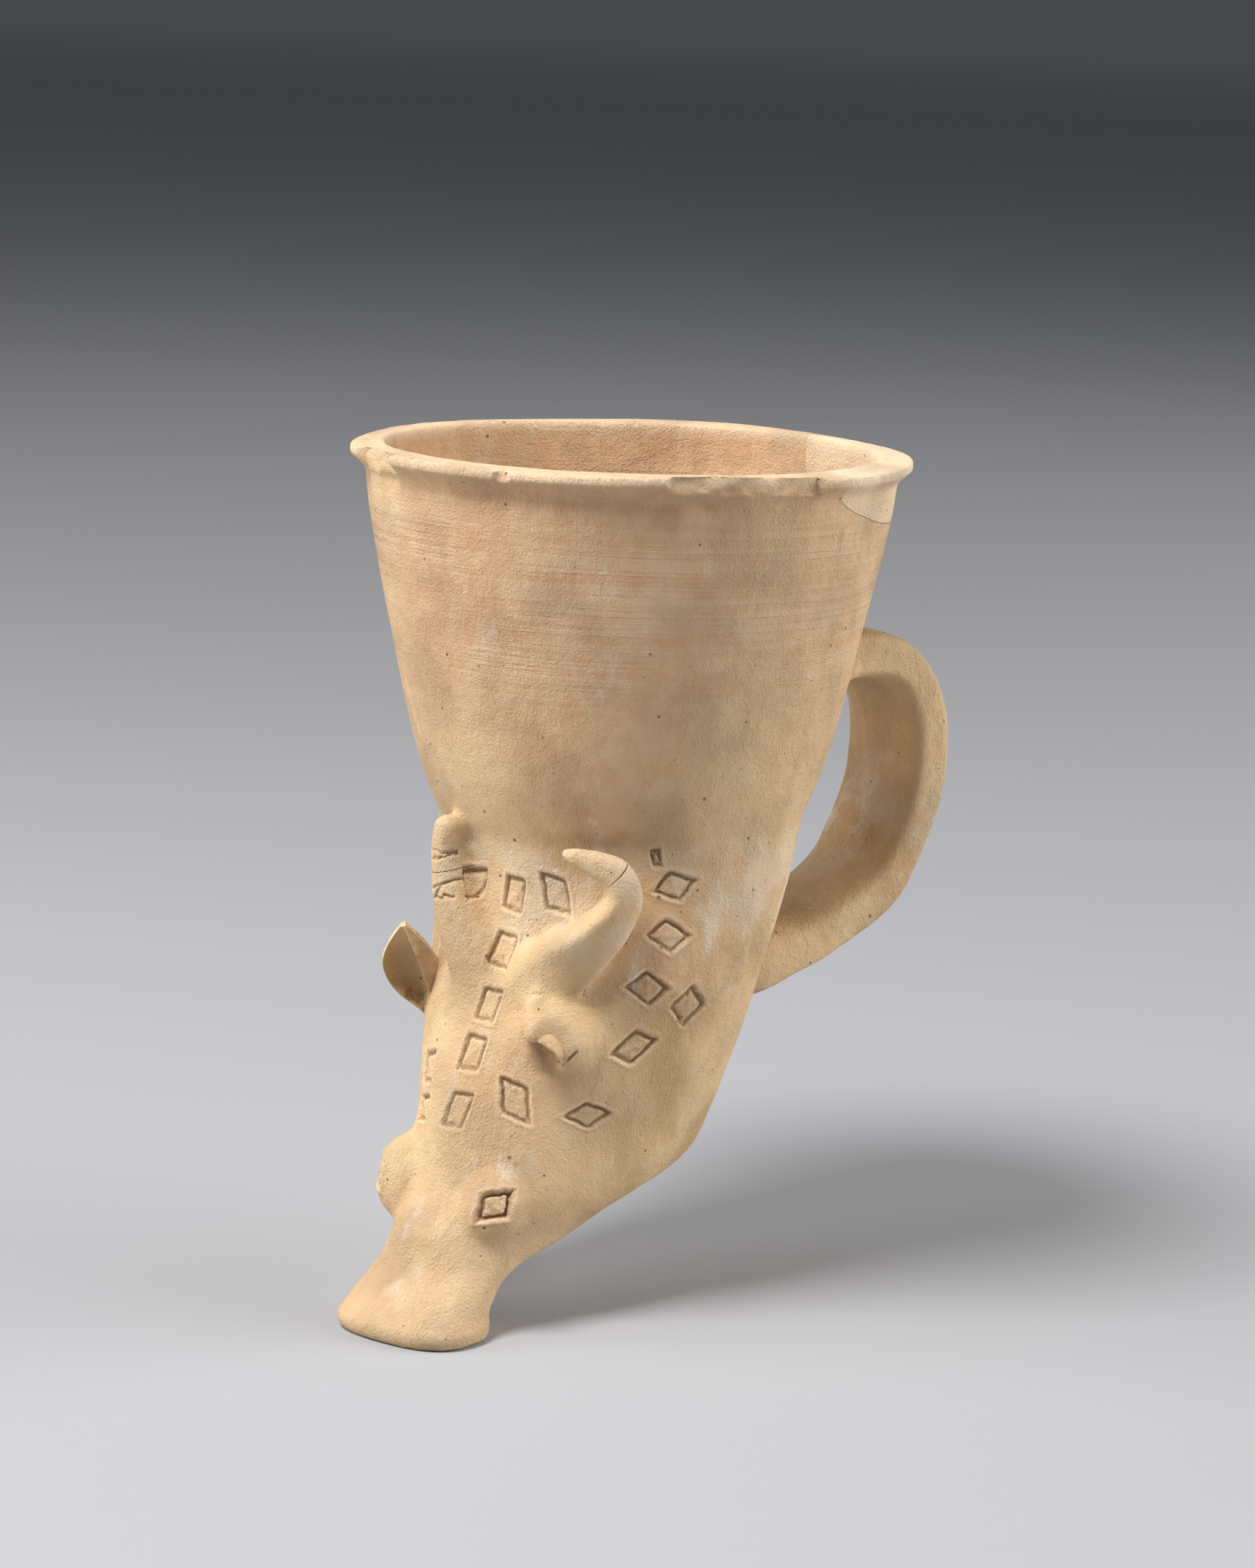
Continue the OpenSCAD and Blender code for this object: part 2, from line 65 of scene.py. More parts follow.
def turned(name, profile, steps):
    """A ring of points stood on the profile of a wall, in millimetres, and spun round the wheel's axis."""
    bpy.ops.object.select_all(action="DESELECT")
    bpy.ops.mesh.primitive_circle_add(vertices=len(profile))
    piece = bpy.context.object
    piece.name = name
    for vertex, (r, z) in zip(piece.data.vertices, profile):
        vertex.co = (r * mm, 0, z * mm)
    bpy.ops.object.mode_set(mode="EDIT")
    bpy.ops.mesh.select_all(action="SELECT")
    bpy.ops.mesh.spin(steps=steps, angle=math.tau, center=(0, 0, 0), axis=(0, 0, 1))
    bpy.ops.mesh.select_all(action="SELECT")
    bpy.ops.mesh.remove_doubles(threshold=0.02 * mm)
    bpy.ops.mesh.normals_make_consistent(inside=False)
    bpy.ops.object.mode_set(mode="OBJECT")
    return piece


wall_heights = [foot_z + (under_ledge - 3.2 - foot_z) * i / 16 for i in range(17)]
cup_profile = [(41.2, 109.5), (42.4, 112.5)]
cup_profile += [(cup_radius(z), z) for z in wall_heights]
cup_profile += [(cup_radius(under_ledge) + 0.5, under_ledge - 1.6), (ledge_r - 0.9, under_ledge + 0.1)]
cup_profile += [(ledge_r - 0.1, under_ledge + 0.8), (ledge_r, mouth_z - 0.9), (ledge_r - 0.5, mouth_z - 0.1)]
cup_profile += [(ledge_r - 2.5, mouth_z)]
cup_profile += [(mouth_r - wall_t + 0.8, mouth_z - 0.1), (mouth_r - wall_t, mouth_z - 0.9)]
cup_profile += [(cup_radius(z) - wall_t, z) for z in reversed(wall_heights[2:])]
cup_profile += [(38.6, foot_z + 2.5), (36.8, foot_z - 1.5), (36.4, 110), (38.5, 108.6)]
cup_clay = turned("cup_clay", cup_profile, 240)
raw_clay.append(cup_clay)

# THE HEAD AND MUZZLE
# A hollow cone of the same clay carries the cup on down and bends forward into the animal's face. It narrows
# to a waist under the eyes and flares to a flat bill, whose end is dished and bored to pour from.
head_rows = np.array([
    [-42.4, 115.5, 43.85, 115.5, 43.2, 2.0],
    [-40.5, 99.5, 38.5, 99.5, 42.8, 2.0],
    [-44.5, 82.5, 32.5, 82.5, 40.5, 2.0],
    [-52.0, 65.5, 28.5, 62.5, 36.0, 2.0],
    [-58.0, 48.5, 25.0, 42.5, 30.0, 2.0],
    [-63.0, 31.5, 15.0, 31.5, 26.5, 2.1],
    [-69.0, 22.5, -15.0, 20.5, 19.0, 2.2],
])
muzzle_rows = np.array([
    [-69.0, 22.5, -15.0, 20.5, 19.0, 2.2],
    [-71.5, 15.0, -46.5, 13.0, 16.3, 2.2],
    [-78.0, 8.6, -55.9, 6.1, 17.2, 2.4],
    [-83.2, 3.9, -57.3, 3.2, 18.4, 2.6],
])
lip_edge = [(0.0, 3.2), (0.0, 2.2), (0.35, 0.9), (1.3, 0.0), (3.0, 0.0), (5.6, 1.4), (8.4, 2.0), (10.5, 2.2)]
head_wall = 6.0
pour_r = 3.0
pour_lean = math.radians(40)


def through(rows, t):
    """A smooth curve through rows of numbers, one whole number of t to each."""
    last = len(rows) - 1
    i = max(0, min(math.floor(t), last - 1))
    f = t - i
    here, ahead = rows[i], rows[i + 1]
    before = rows[i - 1] if i > 0 else 2 * here - ahead
    after = rows[i + 2] if i + 2 <= last else 2 * ahead - here
    return 0.5 * (
        2 * here + (ahead - before) * f
        + (2 * before - 5 * here + 4 * ahead - after) * f * f
        + (3 * here - before - 3 * ahead + after) * f ** 3
    )


def ring_point(row, angle):
    """A point of a ring at an angle from the face line, towards the animal's left."""
    c, s = math.cos(angle), math.sin(angle)
    u = math.copysign(abs(c) ** (2 / row[5]), c)
    v = math.copysign(abs(s) ** (2 / row[5]), s)
    return Vector((
        (row[0] + row[2]) / 2 + (row[0] - row[2]) / 2 * u,
        -row[4] * v,
        (row[1] + row[3]) / 2 + (row[1] - row[3]) / 2 * u,
    ))


def sunk_row(rows, t, depth):
    """A row of the head, moved into the clay by a depth."""
    row = through(rows, t).copy()
    slope = through(rows, min(t + 0.01, len(rows) - 1)) - through(rows, max(t - 0.01, 0))
    face = np.array([slope[1], -slope[0]]) / math.hypot(slope[0], slope[1])
    back = np.array([-slope[3], slope[2]]) / math.hypot(slope[2], slope[3])
    row[:5] -= depth * np.array([face[0], face[1], back[0], back[1], 1])
    return row


def whole_ring(row, sides):
    return [ring_point(row, math.tau * k / sides) for k in range(sides)]


def drawn_out(name, rings):
    """A disc of clay whose face is drawn out from ring to ring, in millimetres."""
    sides = len(rings[0])
    bpy.ops.object.select_all(action="DESELECT")
    bpy.ops.mesh.primitive_circle_add(vertices=sides, fill_type="NGON")
    piece = bpy.context.object
    piece.name = name
    for vertex, place in zip(piece.data.vertices, rings[0]):
        vertex.co = Vector(place) * mm
    bpy.ops.object.mode_set(mode="EDIT")
    bpy.ops.mesh.select_all(action="SELECT")
    edge = list(range(sides))
    for ring in rings[1:]:
        bpy.ops.mesh.extrude_region_move()
        clay = bmesh.from_edit_mesh(piece.data)
        clay.verts.index_update()
        clay.verts.ensure_lookup_table()
        drawn = []
        for i, place in zip(edge, ring):
            corner = clay.verts[i]
            front = next(e.other_vert(corner) for e in corner.link_edges if e.other_vert(corner).select)
            front.co = Vector(place) * mm
            drawn.append(front.index)
        edge = drawn
        bmesh.update_edit_mesh(piece.data)
    bpy.ops.mesh.select_all(action="SELECT")
    bpy.ops.mesh.normals_make_consistent(inside=False)
    bpy.ops.object.mode_set(mode="OBJECT")
    return piece


def carve(piece, tool, operation="DIFFERENCE"):
    """Takes one solid out of another, or keeps what they share, and puts the tool away."""
    cut = piece.modifiers.new("cut", "BOOLEAN")
    cut.operation = operation
    cut.solver = "MANIFOLD"
    cut.object = tool
    bpy.context.view_layer.objects.active = piece
    bpy.ops.object.modifier_apply(modifier=cut.name)
    bpy.data.objects.remove(tool)


def lip_row(draw, z):
    return [-(83.5 - draw), z, -(57.5 + draw), z, 18.5 - draw, 2.6]


skin_sides = 96
head_rings = [whole_ring(through(head_rows, i / 6), skin_sides) for i in range(36)]
head_rings += [whole_ring(through(muzzle_rows, i / 6), skin_sides) for i in range(19)]
head_rings += [whole_ring(lip_row(draw, z), skin_sides) for draw, z in lip_edge]
head_clay = drawn_out("head_clay", head_rings)
hollow_rings = [whole_ring(sunk_row(head_rows, i / 4, head_wall), 64) for i in range(25)]
hollow_rings.insert(0, [place + Vector((0, 0, 9)) for place in hollow_rings[0]])
carve(head_clay, drawn_out("head_hollow", hollow_rings))
bpy.ops.mesh.primitive_cylinder_add(
    vertices=48, radius=pour_r * mm, depth=60 * mm,
    location=Vector((-66.8, 0, 4.5)) * mm, rotation=(0, pour_lean, 0),
)
bpy.ops.object.transform_apply()
carve(head_clay, bpy.context.object)
raw_clay.append(head_clay)


def skin(station, degrees):
    return ring_point(through(head_rows, station), math.radians(degrees))


def out_of_skin(station, degrees):
    down = skin(station + 0.01, degrees) - skin(station - 0.01, degrees)
    round_left = skin(station, degrees + 1) - skin(station, degrees - 1)
    return down.cross(round_left).normalized()


def off_skin(station, degrees, stand):
    return skin(station, degrees) + out_of_skin(station, degrees) * float(stand)


# THE HANDLE
# A flat strap, pulled by hand and rougher than the wall. Its ends are spread and thumbed on to the cup above
# and the back of the neck below, and it is set a little to the animal's left.
handle_turn = math.radians(-12)
far_side_extra = 2.4
handle_line = np.array([
    [46.0, 142.0, 16.5, 7.2], [53.0, 144.6, 16.0, 7.0], [64.0, 147.0, 14.2, 6.3], [79.0, 145.2, 13.0, 6.0],
    [87.8, 136.5, 12.8, 6.0], [91.0, 123.5, 13.0, 6.1], [89.3, 109.5, 13.2, 6.1], [84.0, 98.0, 13.0, 6.0],
    [76.5, 88.0, 13.2, 6.2], [60.5, 80.2, 13.8, 6.0], [45.0, 75.8, 15.2, 6.6], [33.0, 73.6, 16.5, 7.0],
    [26.0, 72.6, 16.5, 6.4],
])


def strap_ring(t, grown=0.0):
    x, z, half_w, half_t = through(handle_line, t)
    ahead = through(handle_line, min(t + 0.01, len(handle_line) - 1)) - through(handle_line, max(t - 0.01, 0))
    along = Vector((ahead[0], 0, ahead[1])).normalized()
    up = Vector((0, 1, 0)).cross(along)
    ring = []
    for k in range(44):
        c, s = math.cos(math.tau * k / 44), math.sin(math.tau * k / 44)
        thick = math.copysign(abs(c) ** 0.40, c) * (half_t + grown)
        wide = math.copysign(abs(s) ** 0.40, s) * (half_w + far_side_extra / 2 + grown) + far_side_extra / 2
        rolled = 1 - 0.10 * (wide / half_w) ** 2
        place = Vector((x, 0, z)) + up * thick * (rolled if c > 0 else 1) + Vector((0, wide, 0))
        ring.append(Matrix.Rotation(handle_turn, 3, "Z") @ place)
    return ring


strap_steps = [i / 5 for i in range(5 * (len(handle_line) - 1) + 1)]
handle_clay = drawn_out("handle_clay", [strap_ring(t) for t in strap_steps])
raw_clay.append(handle_clay)

# THE HORNS
# Rolled tapers of clay, fanned out and wiped down on the crown at their roots. They rise and curl in over the
# forehead, the left one to a point and the right one, which is lumpy and cracked, straight up to a round tip.
# Station down the head, degrees from the face line, height over the skin, half width, half thickness and how
# sharp the crease along its outside is.
left_horn = np.array([
    [2.46, 9.0, -2.9, 5.0, 1.8, 0.0], [2.28, 13.5, -0.8, 8.0, 2.8, 0.3], [2.08, 19.5, 1.2, 8.8, 4.0, 0.7],
    [1.82, 26.5, 3.2, 7.9, 4.9, 1.0], [1.50, 32.8, 4.9, 6.5, 5.1, 1.0], [1.14, 37.2, 6.2, 5.5, 5.0, 0.9],
    [0.78, 38.6, 7.2, 4.9, 4.5, 0.6], [0.47, 36.9, 7.8, 4.2, 4.0, 0.2], [0.32, 32.4, 8.0, 3.4, 3.3, 0.0],
    [0.25, 28.6, 7.9, 2.8, 2.6, 0.0], [0.19, 25.2, 7.7, 2.0, 1.9, 0.0], [0.15, 22.6, 7.5, 0.9, 0.8, 0.0],
])
right_horn = np.array([
    [2.62, -7.5, -4.4, 5.0, 3.0, 0.0], [2.28, -9.0, -3.0, 6.6, 4.2, 0.0], [1.90, -12.0, -0.9, 7.2, 5.6, 0.0],
    [1.52, -15.6, 1.8, 6.2, 6.2, 0.0], [1.14, -18.4, 3.8, 4.8, 5.4, 0.0], [0.8, -19.6, 4.6, 4.1, 4.8, 0.0],
    [0.5, -20.2, 4.6, 3.8, 4.5, 0.0], [0.25, -20.0, 4.6, 3.4, 3.9, 0.0], [0.06, -19.6, 4.6, 2.7, 2.9, 0.0],
    [-0.02, -19.4, 4.6, 1.2, 1.3, 0.0],
])
crease_at = -0.38


def horn_ring(rows, t, grown=0.0, sides=36):
    """A flattened ring square to the horn's line, with its thin way out of the skin."""
    row = through(rows, t)
    before = through(rows, max(t - 0.02, 0))
    after = through(rows, min(t + 0.02, len(rows) - 1))
    middle = off_skin(*row[:3])
    along = (off_skin(*after[:3]) - off_skin(*before[:3])).normalized()
    out = out_of_skin(row[0], row[1])
    across = along.cross(out).normalized()
    out = across.cross(along)
    ring = []
    for k in range(sides):
        c, s = math.cos(math.tau * k / sides), math.sin(math.tau * k / sides)
        wide = math.copysign(abs(c) ** 0.84, c)
        thick = math.copysign(abs(s) ** 0.84, s)
        if s > 0:
            thick *= 1 + row[5] * (0.34 - 0.62 * abs(wide - crease_at))
        ring.append(middle + across * wide * (row[3] + grown) + out * thick * (row[4] + grown))
    return ring


def horn_rings(rows, start, end, grown=0.0):
    count = round((end - start) * 5)
    return [horn_ring(rows, start + (end - start) * i / count, grown) for i in range(count + 1)]


left_horn_clay = drawn_out("left_horn_clay", horn_rings(left_horn, 0, len(left_horn) - 1))
right_horn_clay = drawn_out("right_horn_clay", horn_rings(right_horn, 0, len(right_horn) - 1))
raw_clay += [left_horn_clay, right_horn_clay]

# THE EARS
# Pinched tabs of clay behind and below the horns. The right one stands up as a cupped leaf. The left one is
# folded over to a cowl, with its tip broken off, and is wiped smooth on to the cheek behind it.
# Station, degrees and height over the skin of the cowl's back edge, back, ridge and front foot.
cowl_rows = [
    [(2.20, 42, -2.5), (2.22, 31, -0.8), (2.20, 20, 0.4), (2.18, 10, -1.6)],
    [(2.34, 44, -2.0), (2.36, 32, 3.0), (2.37, 21.3, 5.2), (2.38, 11.5, -0.9)],
    [(2.54, 47.5, -1.6), (2.55, 34, 4.8), (2.60, 22.6, 7.8), (2.60, 15, -0.6)],
    [(2.76, 51.5, -1.4), (2.77, 37, 5.6), (2.83, 24.6, 9.0), (2.80, 20, 1.6)],
    [(2.95, 54, -1.4), (2.95, 40, 4.8), (2.99, 28.6, 8.0), (2.96, 26, 3.6)],
    [(3.12, 53, -1.9), (3.11, 42, 3.0), (3.13, 33.6, 4.6), (3.12, 32, 2.0)],
    [(3.28, 50, -3.0), (3.26, 43, -0.4), (3.26, 38.5, 0.0), (3.24, 37.5, -0.8)],
]
cowl_depth = 8.0
leaf_root = (2.98, -47, -3.2)
leaf_tip = (1.80, -29, 11.6)
leaf_looks = Vector((-1, -0.75, 0.1))
leaf_t = 2.3
leaf_cup = 3.6
leaf_fold = 0.12
# Widths to the left and the right of the leaf's middle line, from its root to its tip.
leaf_widths = np.array([
    [1.6, 2.6], [3.4, 4.2], [5.8, 4.8], [7.4, 4.8], [8.0, 4.6], [7.4, 3.7], [4.9, 2.4], [0.8, 0.6],
])


def cowl_ring(t, grown=0.0):
    rows = [np.array([row[k] for row in cowl_rows]) for k in range(4)]
    outside = [off_skin(*through(row, t)) for row in rows]
    inward = -sum((out_of_skin(*through(row, t)[:2]) for row in rows), Vector()) / 4
    over = []
    for k in range(19):
        arched = Vector(through(np.array([list(p) for p in outside]), k / 6))
        i = min(k // 6, 2)
        straight = outside[i].lerp(outside[i + 1], k / 6 - i)
        over.append(arched.lerp(straight, 0.5))
    under = [
        p + inward * cowl_depth * (0.3 + 0.7 * math.sin(math.pi * (k + 0.5) / 19))
        for k, p in enumerate(over)
    ]
    ring = over + under[::-1]
    centre = sum(ring, Vector()) / len(ring)
    return [p + (p - centre).normalized() * grown for p in ring]


def leaf_ring(u, grown=0.0):
    """A bowed ring across the leaf, whose right edge is folded forward over its hollow."""
    root, tip = off_skin(*leaf_root), off_skin(*leaf_tip)
    along = tip - root
    right = along.cross(leaf_looks).normalized()
    front = right.cross(along).normalized()
    widths = through(leaf_widths, u * (len(leaf_widths) - 1))
    face, rear = [], []
    for k in range(41):
        v = k / 20 - 1
        wide = v * (widths[0] if v < 0 else widths[1])
        if v < leaf_fold:
            hollow = leaf_cup * (((v + 0.44) / 0.56) ** 2 - 1)
        else:
            hollow = 1.8 - 2.8 * (v - leaf_fold)
        hollow *= min(1, 3.5 * (1 - u)) * min(1, 0.4 + 3 * u)
        half = leaf_t / 2 * (1 - 0.35 * max(0, -v) ** 3) + grown
        place = root + along * u + right * (wide + math.copysign(grown, v))
        face.append(place + front * (hollow + half))
        rear.append(place + front * (hollow * 0.8 - half))
    return face + rear[::-1]


left_ear_clay = drawn_out("left_ear_clay", [cowl_ring(6 * i / 24) for i in range(25)])
right_ear_clay = drawn_out("right_ear_clay", [leaf_ring(i / 20) for i in range(7)])
thumb_place = off_skin(3.05, 26.5, 2.4) * mm
bpy.ops.mesh.primitive_uv_sphere_add(segments=32, ring_count=20, radius=mm, location=thumb_place)
thumb = bpy.context.object
thumb.scale = (5.6, 4.4, 5.6)
thumb.rotation_euler = out_of_skin(3.0, 29).to_track_quat("Y", "Z").to_euler()
bpy.ops.object.transform_apply()
carve(left_ear_clay, thumb)
raw_clay += [left_ear_clay, right_ear_clay]

# THE EYES
# Balls of clay pressed on either side of the bridge and thumbed down all round, so that they swell out of the
# face without an edge.
# Station down the head, degrees from the face line, radius, height over the skin and length for its width.
eye_balls = {"left": (5.12, 30.0, 8.2, 5.0, 1.05), "right": (5.02, -37.0, 8.4, 6.9, 1.25)}
eye_flat = 0.9


def eye_ball(name, place, grown=0.0):
    station, degrees, radius, stand, stretch = place
    middle = off_skin(station, degrees, stand - radius * eye_flat)
    out = out_of_skin(station, degrees)
    up = (skin(station - 0.01, degrees) - skin(station + 0.01, degrees)).normalized()
    bpy.ops.mesh.primitive_uv_sphere_add(segments=48, ring_count=32, radius=mm, location=middle * mm)
    ball = bpy.context.object
    ball.name = name
    ball.scale = (radius + grown, radius * stretch + grown, radius * eye_flat + grown)
    ball.rotation_euler = Matrix((up.cross(out), up, out)).transposed().to_euler()
    bpy.ops.object.transform_apply()
    return ball


for side, place in eye_balls.items():
    raw_clay.append(eye_ball(side + "_eye_clay", place))

# THE VESSEL JOINED AND WIPED
# The parts were luted together while the clay was leather-hard and the joints were wiped with a wet finger, so
# they run into each other softly. The surface kept the waviness of the hand.
joint_reach = {
    "cup_clay": 12.0, "handle_clay": 6.0, "left_eye_clay": 8.0, "right_eye_clay": 9.0,
    "left_horn_clay": 2.4, "right_horn_clay": 3.0, "left_ear_clay": 2.6, "right_ear_clay": 2.4,
}
voxel = 0.8
wipe_passes = 30


def grid_of(body):
    spots = np.empty(len(body.data.vertices) * 3)
    body.data.vertices.foreach_get("co", spots)
    return spots.reshape(-1, 3) / mm


masses = {
    clay.name: BVHTree.FromObject(clay, bpy.context.evaluated_depsgraph_get()) for clay in raw_clay
}
bpy.ops.object.select_all(action="DESELECT")
for clay in raw_clay:
    clay.select_set(True)
bpy.context.view_layer.objects.active = head_clay
bpy.ops.object.join()
body = bpy.context.object
body.name = "body"
remesh = body.modifiers.new("remesh", "REMESH")
remesh.mode = "VOXEL"
remesh.voxel_size = voxel * mm
bpy.ops.object.modifier_apply(modifier="remesh")

joints = body.vertex_groups.new(name="joints")
for vertex in body.data.vertices:
    near = sorted((tree.find_nearest(vertex.co)[3] / mm, name) for name, tree in masses.items())[:2]
    reach = min(joint_reach.get(name, 99) for _, name in near)
    weight = 1 - near[1][0] / reach
    least = 0.03 if vertex.co.z > 190 * mm else 0.12
    joints.add([vertex.index], max(least, min(1, 1.6 * weight)), "REPLACE")
wipe = body.modifiers.new("wipe", "SMOOTH")
wipe.factor = 0.5
wipe.iterations = wipe_passes
wipe.vertex_group = "joints"
bpy.ops.object.modifier_apply(modifier="wipe")
body.vertex_groups.clear()

# THE HAND'S UNEVENNESS
# Throwing left faint rings in the cup, and the head, muzzle and handle, which were shaped by hand, are dented
# and lumpy. The rim's ledge dips and swells a little as it goes round.
def numbers(count, values):
    return np.fromiter(values, float, count)


def wave(spots, size, seed):
    """Smooth noise between about -1 and 1, whose lumps are as large as the size in millimetres."""
    shift = Vector((seed * 7.3, seed * 3.1, seed * 5.7))
    return numbers(len(spots), (noise.noise(Vector(p) / size + shift) for p in spots))


def between(value, low, high):
    """0 below the low value, 1 above the high one and a soft step between them."""
    t = np.clip((value - low) / (high - low), 0, 1)
    return t * t * (3 - 2 * t)


def moved(piece, spots):
    piece.data.vertices.foreach_set("co", (spots * mm).ravel())
    piece.data.update()


def normals_of(piece):
    out = np.empty(len(piece.data.vertices) * 3)
    piece.data.vertices.foreach_get("normal", out)
    return out.reshape(-1, 3)


spots = grid_of(body)
height = spots[:, 2]
from_axis = np.hypot(spots[:, 0], spots[:, 1])
on_ledge = between(from_axis, 58, 62) * between(height, 192, 196)
on_handle = between(from_axis, 60, 66) * (1 - between(height, 155, 162))
on_handle += between(spots[:, 0], 34, 44) * (1 - between(height, 82, 96))
on_cup = between(height, 112, 122) * (1 - on_ledge) * (1 - np.clip(on_handle, 0, 1))
on_head = (1 - between(height, 106, 118)) * (1 - np.clip(on_handle, 0, 1))
broad, middling, fine = wave(spots, 34, 1), wave(spots, 13, 2), wave(spots, 5, 3)
rings = np.array([noise.noise(Vector((0.4, 0.2, z / 4.2))) for z in height])
push = on_cup * (0.40 * broad + 0.12 * middling + 0.07 * rings * between(height, 118, 140))
push += on_head * (0.9 * broad + 0.30 * middling + 0.08 * fine)
push += np.clip(on_handle, 0, 1) * (0.5 * broad + 0.40 * middling + 0.16 * fine)
push += on_ledge * (0.10 * middling + 0.08 * fine)
push *= between(height, 2.5, 8)
spots += normals_of(body) * push[:, None]
# Where the ledge is chipped: from and to which degrees round the wheel's axis, and the reach left of it.
chips = [(-135, -99.5, 63.6), (143, 161.5, 62.9), (20, 31, 64.6), (-170, -166, 65.0), (75, 80, 65.2)]
turn = np.degrees(np.arctan2(spots[:, 1], spots[:, 0]))
reach = np.full(len(spots), ledge_r - 0.12)
crumbly = 0.7 * wave(spots, 6, 11) + 0.35 * wave(spots, 2.6, 12)
for start, end, left in chips:
    inside = between(turn, start, start + 1.2) * (1 - between(turn, end - 1.0, end))
    reach = np.where(inside > 0, reach + (left + 0.9 * crumbly - reach) * inside, reach)
out = np.hypot(spots[:, 0], spots[:, 1])
shrink = np.where((height > 190) & (out > reach), np.minimum(reach, ledge_r - 0.12) / np.maximum(out, 1), 1)
spots[:, :2] *= shrink[:, None]
droop = on_ledge * (0.35 * np.sin(np.radians(2 * turn + 40)) + 0.22 * np.sin(np.radians(5 * turn)) - 0.5)
spots[:, 2] += droop * between(out, 56, 62)
spots[:, 2] = np.where(height > 190, np.minimum(spots[:, 2], mouth_z - 0.02), spots[:, 2])
# The back of the handle stays as far out as it was measured, however rough it is.
furthest, soft = 96.05, 1.6
beyond = np.maximum(spots[:, 0] - furthest + soft, 0)
spots[:, 0] -= beyond - soft * (1 - np.exp(-beyond / soft))
moved(body, spots)

# THE STAMPED LOZENGES
# A small lozenge stamp was pressed into the soft clay in a row down the face, over both cheeks and on the
# eyes. Each mark is a groove round a low island of rough clay, with a soft rim pushed up outside it.
# Station down the head, degrees from the face line, then the mark's two pairs of sides: the half width and the
# way it runs, the half height and the way it runs, in degrees from across the head.
face_stamps = [
    (1.04, 2, 3.0, -4, 4.3, 86), (1.80, 2, 3.1, -5, 4.4, 88), (2.51, 2, 3.0, -3, 4.2, 88),
    (3.14, 1, 3.2, -4, 4.5, 84), (3.90, 1, 3.3, 2, 4.6, 82), (1.07, -14, 2.9, 2, 5.0, 84),
    (0.95, 17, 3.6, -8, 4.6, 104), (3.50, -26, 3.0, 0, 4.0, 86), (3.67, 25, 3.9, -4, 4.6, 112),
    (4.02, -25, 3.0, 0, 3.2, 90),
]
cheek_stamps = [
    (3.82, 54, 4.0, -4, 3.6, 52), (0.76, 55, 3.9, -18, 3.4, 52), (1.45, 56, 4.0, -20, 3.5, 54),
    (2.15, 55, 4.0, -16, 3.6, 56), (2.43, 74, 3.6, -30, 4.2, 60), (2.93, 60, 3.4, -2, 4.5, 66),
]
cheek_marks = [(s, -a, w, 180 - across, h, 180 - along) for s, a, w, across, h, along in cheek_stamps]
stamp_marks = face_stamps + cheek_stamps + cheek_marks
nick = (0.34, 49, 1.3, 0, 2.4, 100)


def stamp_frame(s, degrees, stand):
    """The stamp's middle, its way across, its way up the head and its way out of the clay."""
    out = out_of_skin(s, degrees)
    up = (skin(s - 0.01, degrees) - skin(s + 0.01, degrees)).normalized()
    return off_skin(s, degrees, stand), up.cross(out), up, out


def in_frame(spots, place):
    middle, across, up, out = (np.array(v) for v in place)
    rest = spots - middle
    return rest @ across, rest @ up, rest @ out


def faces_near(piece, wanted, cuts):
    """Divides the faces that lie where they are wanted."""
    bpy.ops.object.select_all(action="DESELECT")
    piece.select_set(True)
    bpy.context.view_layer.objects.active = piece
    bpy.ops.object.mode_set(mode="EDIT")
    bpy.ops.mesh.select_all(action="DESELECT")
    bpy.ops.object.mode_set(mode="OBJECT")
    piece.data.polygons.foreach_set("select", wanted)
    bpy.ops.object.mode_set(mode="EDIT")
    bpy.ops.mesh.select_mode(type="FACE")
    bpy.ops.mesh.subdivide(number_cuts=cuts)
    bpy.ops.mesh.select_mode(type="VERT")
    bpy.ops.object.mode_set(mode="OBJECT")


def face_middles(piece):
    middles = np.empty(len(piece.data.polygons) * 3)
    piece.data.polygons.foreach_get("center", middles)
    return middles.reshape(-1, 3) / mm


def slanted(x, y, half_w, across, half_h, along):
    """Shares of the way from a stamp's middle to its two pairs of sides."""
    cross = math.sin(math.radians(along - across))
    a, b = math.radians(across), math.radians(along)
    p = (x * math.sin(b) - y * math.cos(b)) / cross / half_w
    q = (y * math.cos(a) - x * math.sin(a)) / cross / half_h
    return p, q


